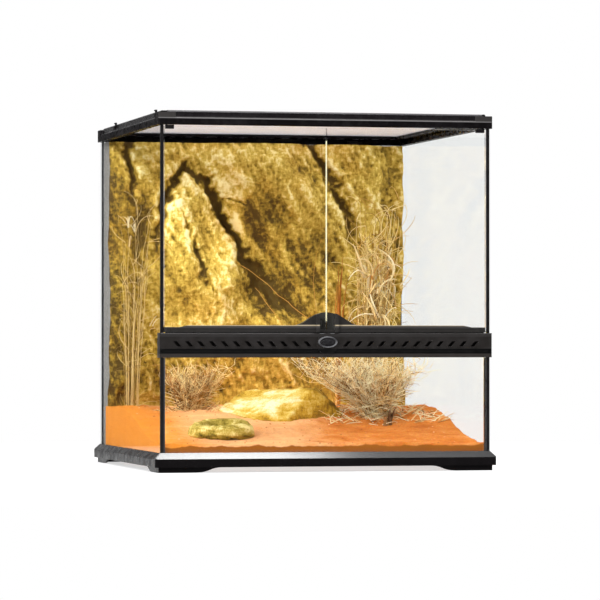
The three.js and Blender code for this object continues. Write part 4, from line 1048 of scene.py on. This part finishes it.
def twigTree():
    tree, given, target = newTree("longTwig", start="Vector", middle="Vector", end="Vector", wide="Float",
            material="Material")
    path = bezier(40, given["start"], given["middle"], given["end"])
    centred = centredNoise(geo(tree, "InputPosition"), 32.0, 3.0)
    kink = vectorCalc("SCALE", centred, Scale=0.009)
    bent = geo(tree, "SetPosition", {"Geometry": path, "Offset": kink})
    taper = less(1.0, times(geo(tree, "SplineParameter"), 0.6))
    solid = stemsAlong(bent, ringOf(tree, 6), times(given["wide"], taper))
    finishTree(solid, given["material"], target)
    return tree


twigPath = twigTree()
for name, s in longTwigs.items():
    twig = treePiece(name, twigPath, {**s, "material": twigStraw})
    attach(twig, "cabinet")

sandBits = {"count": 420, "small": 0.5, "large": 1.6, "sink": 0.3 * mm, "seed": 5, "half": 0.212, "front": -0.212,
        "back": 0.13, "material": grit}


def bitsTree():
    tree, given, target = newTree("sandBits", geometry="Geometry", small="Float", large="Float", seed="Int",
            material="Material")
    bit = geo(tree, "MeshIcoSphere", {"Radius": 1.0, "Subdivisions": 1})
    centred = centredNoise(geo(tree, "InputPosition"), 1.3, 1.0)
    seed = given["seed"]
    copies = geo(tree, "InstanceOnPoints", {
        "Points": given["geometry"], "Instance": geo(tree, "SetPosition", {"Geometry": bit, "Offset": centred}),
        "Rotation": randomValue("FLOAT_VECTOR", (-3, -3, -3), (3, 3, 3), seed),
        "Scale": randomValue("FLOAT", given["small"], given["large"], plus(seed, 3.0))})
    finishTree(copies, given["material"], target)
    return tree


chance = np.random.default_rng(sandBits["seed"])
bitX = chance.uniform(-sandBits["half"], sandBits["half"], sandBits["count"])
bitY = chance.uniform(sandBits["front"], sandBits["back"], sandBits["count"])
bitZ = sandUnder(bitX / mm, bitY / mm) * mm - sandBits["sink"]
bits = treePiece("sandBits", bitsTree(), sandBits, np.stack([bitX, bitY, bitZ], -1).tolist())
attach(bits, "cabinet")
print("long twigs and sand bits made")


# door edges

edgeBevel = 0.04 * mm


def boxMesh(name, low, high, material):
    made = bmesh.new()
    bmesh.ops.create_cube(made, size=1.0)
    for v in made.verts:
        v.co = Vector((low[i] + (v.co[i] + 0.5) * (high[i] - low[i])) for i in range(3))
    bmesh.ops.bevel(made, geom=made.edges, offset=edgeBevel, segments=1, affect="EDGES")
    mesh = bpy.data.meshes.new(name)
    made.to_mesh(mesh)
    made.free()
    mesh.materials.append(material)
    return addObject(name, mesh)


doorEdge = {"proud": 0.1 * mm, "inset": 0.25 * mm, "overRail": 0.012, "underCap": 0.017}
for hand, side in (("left", -1), ("right", 1)):
    low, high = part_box(hand + "_door_glass")
    inner = high.x if side < 0 else low.x
    xs = sorted((inner, inner - side * doorEdge["proud"]))
    edge = boxMesh(hand + "DoorGroundEdge", (xs[0], low.y + doorEdge["inset"], low.z + doorEdge["overRail"]),
            (xs[1], high.y - doorEdge["inset"], high.z - doorEdge["underCap"]), edgeGlassGlow)
    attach(edge, hand + "_door")

# painted shade: a dark lip behind the slit between the strip and the door rails keeps the slit dark
slitShadeLip = {"half": 0.2155, "front": -0.2202, "back": -0.2190, "low": 0.1825, "high": 0.1862}
shadeLip = boxMesh("stripRearLip", (-slitShadeLip["half"], slitShadeLip["front"], slitShadeLip["low"]),
        (slitShadeLip["half"], slitShadeLip["back"], slitShadeLip["high"]), bead)
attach(shadeLip, "cabinet")
print("door edges and lip made")


# camera, light and floor

viewpoint = {"place": (-1.140, -4.923, 0.173), "ahead": (0.22868, 0.97342, 0.01134), "lens": 218.3,
        "sensor": 36, "reach": 60}
camera = addObject("camera", bpy.data.cameras.new("camera"))
camera.data.lens = viewpoint["lens"]
camera.data.sensor_width = viewpoint["sensor"]
camera.data.clip_end = viewpoint["reach"]
camera.location = viewpoint["place"]
camera.rotation_euler = Vector(viewpoint["ahead"]).to_track_quat("-Z", "Y").to_euler()
scene.camera = camera

softLights = {
    "keyLeft": {"place": (-2.5, -2.2, 1.9), "aim": (0, 0, 0.25), "width": 1.5, "height": 1.3, "power": 104},
    "overhead": {"place": (-0.25, 0.1, 2.0), "aim": (-0.25, 0.1, 0), "width": 1.4, "height": 1.4, "power": 20},
    "ledgeGlint": {"place": (0.3, -0.2, 2.02), "aim": (0.3, -0.2, 0), "width": 0.36, "height": 0.5, "power": 12},
    "ledgeGlow": {"place": (0.66, -0.2, 2.02), "aim": (0.66, -0.2, 0), "width": 0.36, "height": 0.5, "power": 1.5},
    "fillRight": {"place": (2.6, -1.8, 0.9), "aim": (0, 0, 0.25), "width": 1.4, "height": 1.4, "power": 18},
}
for name, s in softLights.items():
    lamp = bpy.data.lights.new(name, "AREA")
    lamp.shape = "RECTANGLE"
    lamp.size = s["width"]
    lamp.size_y = s["height"]
    lamp.energy = s["power"]
    light = addObject(name, lamp)
    light.location = s["place"]
    light.rotation_euler = (Vector(s["aim"]) - Vector(s["place"])).to_track_quat("-Z", "Y").to_euler()

world = bpy.data.worlds.new("studio")
scene.world = world
world.use_nodes = True
sky = world.node_tree
sky.nodes.clear()
ambient = addNode(sky, "ShaderNodeBackground", {"Color": (0.97, 0.985, 1.0, 1), "Strength": 0.36})
backdrop = addNode(sky, "ShaderNodeBackground", {"Color": (1, 1, 1, 1), "Strength": 1.0})
both = addNode(sky, "ShaderNodeMixShader", {0: seenRays(sky), 1: ambient.outputs[0], 2: backdrop.outputs[0]})
addNode(sky, "ShaderNodeOutputWorld", {0: both.outputs[0]})


def disc(name, radius, level, steps=96):
    around = [(radius * math.cos(i * math.tau / steps), radius * math.sin(i * math.tau / steps), level)
            for i in range(steps)]
    return addMesh(name, around, [list(range(steps))])


def floorMaterial(radius):
    material, tree, place = newMaterial("paleFloor", Base_Color=(0.55, 0.55, 0.55, 1), Roughness=0.9,
            Specular_IOR_Level=0.0)
    glow = addNode(tree, "ShaderNodeEmission", {"Color": (1, 1, 1, 1), "Strength": times(seenRays(tree), 0.62)})
    shown = tree.nodes["Principled BSDF"].outputs[0]
    lit = addNode(tree, "ShaderNodeAddShader", {0: shown, 1: glow.outputs[0]})
    away = addNode(tree, "ShaderNodeVectorMath", {0: place}, operation="LENGTH").outputs["Value"]
    fade = valueRange(away, radius * 0.45, radius * 0.98)
    mixSurface(fade, lit.outputs[0], tree.nodes.new("ShaderNodeBsdfTransparent").outputs[0])
    return material


floorRadius = 1.3
floorLevel = -0.0002
floor = disc("floor", floorRadius, floorLevel)
floor.data.materials.append(floorMaterial(floorRadius))


def flagMaterial():
    material, tree, _ = newMaterial("blackFlag", Base_Color=(0, 0, 0, 1), Roughness=1.0, Specular_IOR_Level=0.0)
    mirrored = tree.nodes.new("ShaderNodeLightPath").outputs["Glossy Depth"]
    nothing = tree.nodes.new("ShaderNodeBsdfTransparent").outputs[0]
    mixSurface(calc("GREATER_THAN", mirrored, 0.5), nothing, tree.nodes["Principled BSDF"].outputs[0])
    return material


# black cards that only reflections see, as a photographer sets them up against glare
blackCards = {
    "cardLeft": [(-0.66, 1.0, -0.1), (-0.28, 1.0, -0.1), (-0.28, 1.0, 0.8), (-0.66, 1.0, 0.8)],
    "cardFront": [(0.0, -3.2, -0.6), (2.2, -3.2, -0.6), (2.2, -3.2, 1.4), (0.0, -3.2, 1.4)],
    "cardAbove": [(0.42, -0.9, 2.1), (1.6, -0.9, 2.1), (1.6, 0.9, 2.1), (0.42, 0.9, 2.1)],
}
cardLook = flagMaterial()
for name, corners in blackCards.items():
    card = addMesh(name, corners, [(0, 1, 2, 3)])
    card.data.materials.append(cardLook)
    for rays in ("camera", "diffuse", "shadow", "volume_scatter"):
        setattr(card, "visible_" + rays, False)

scene.view_settings.view_transform = "Standard"
print("camera, light and floor set")
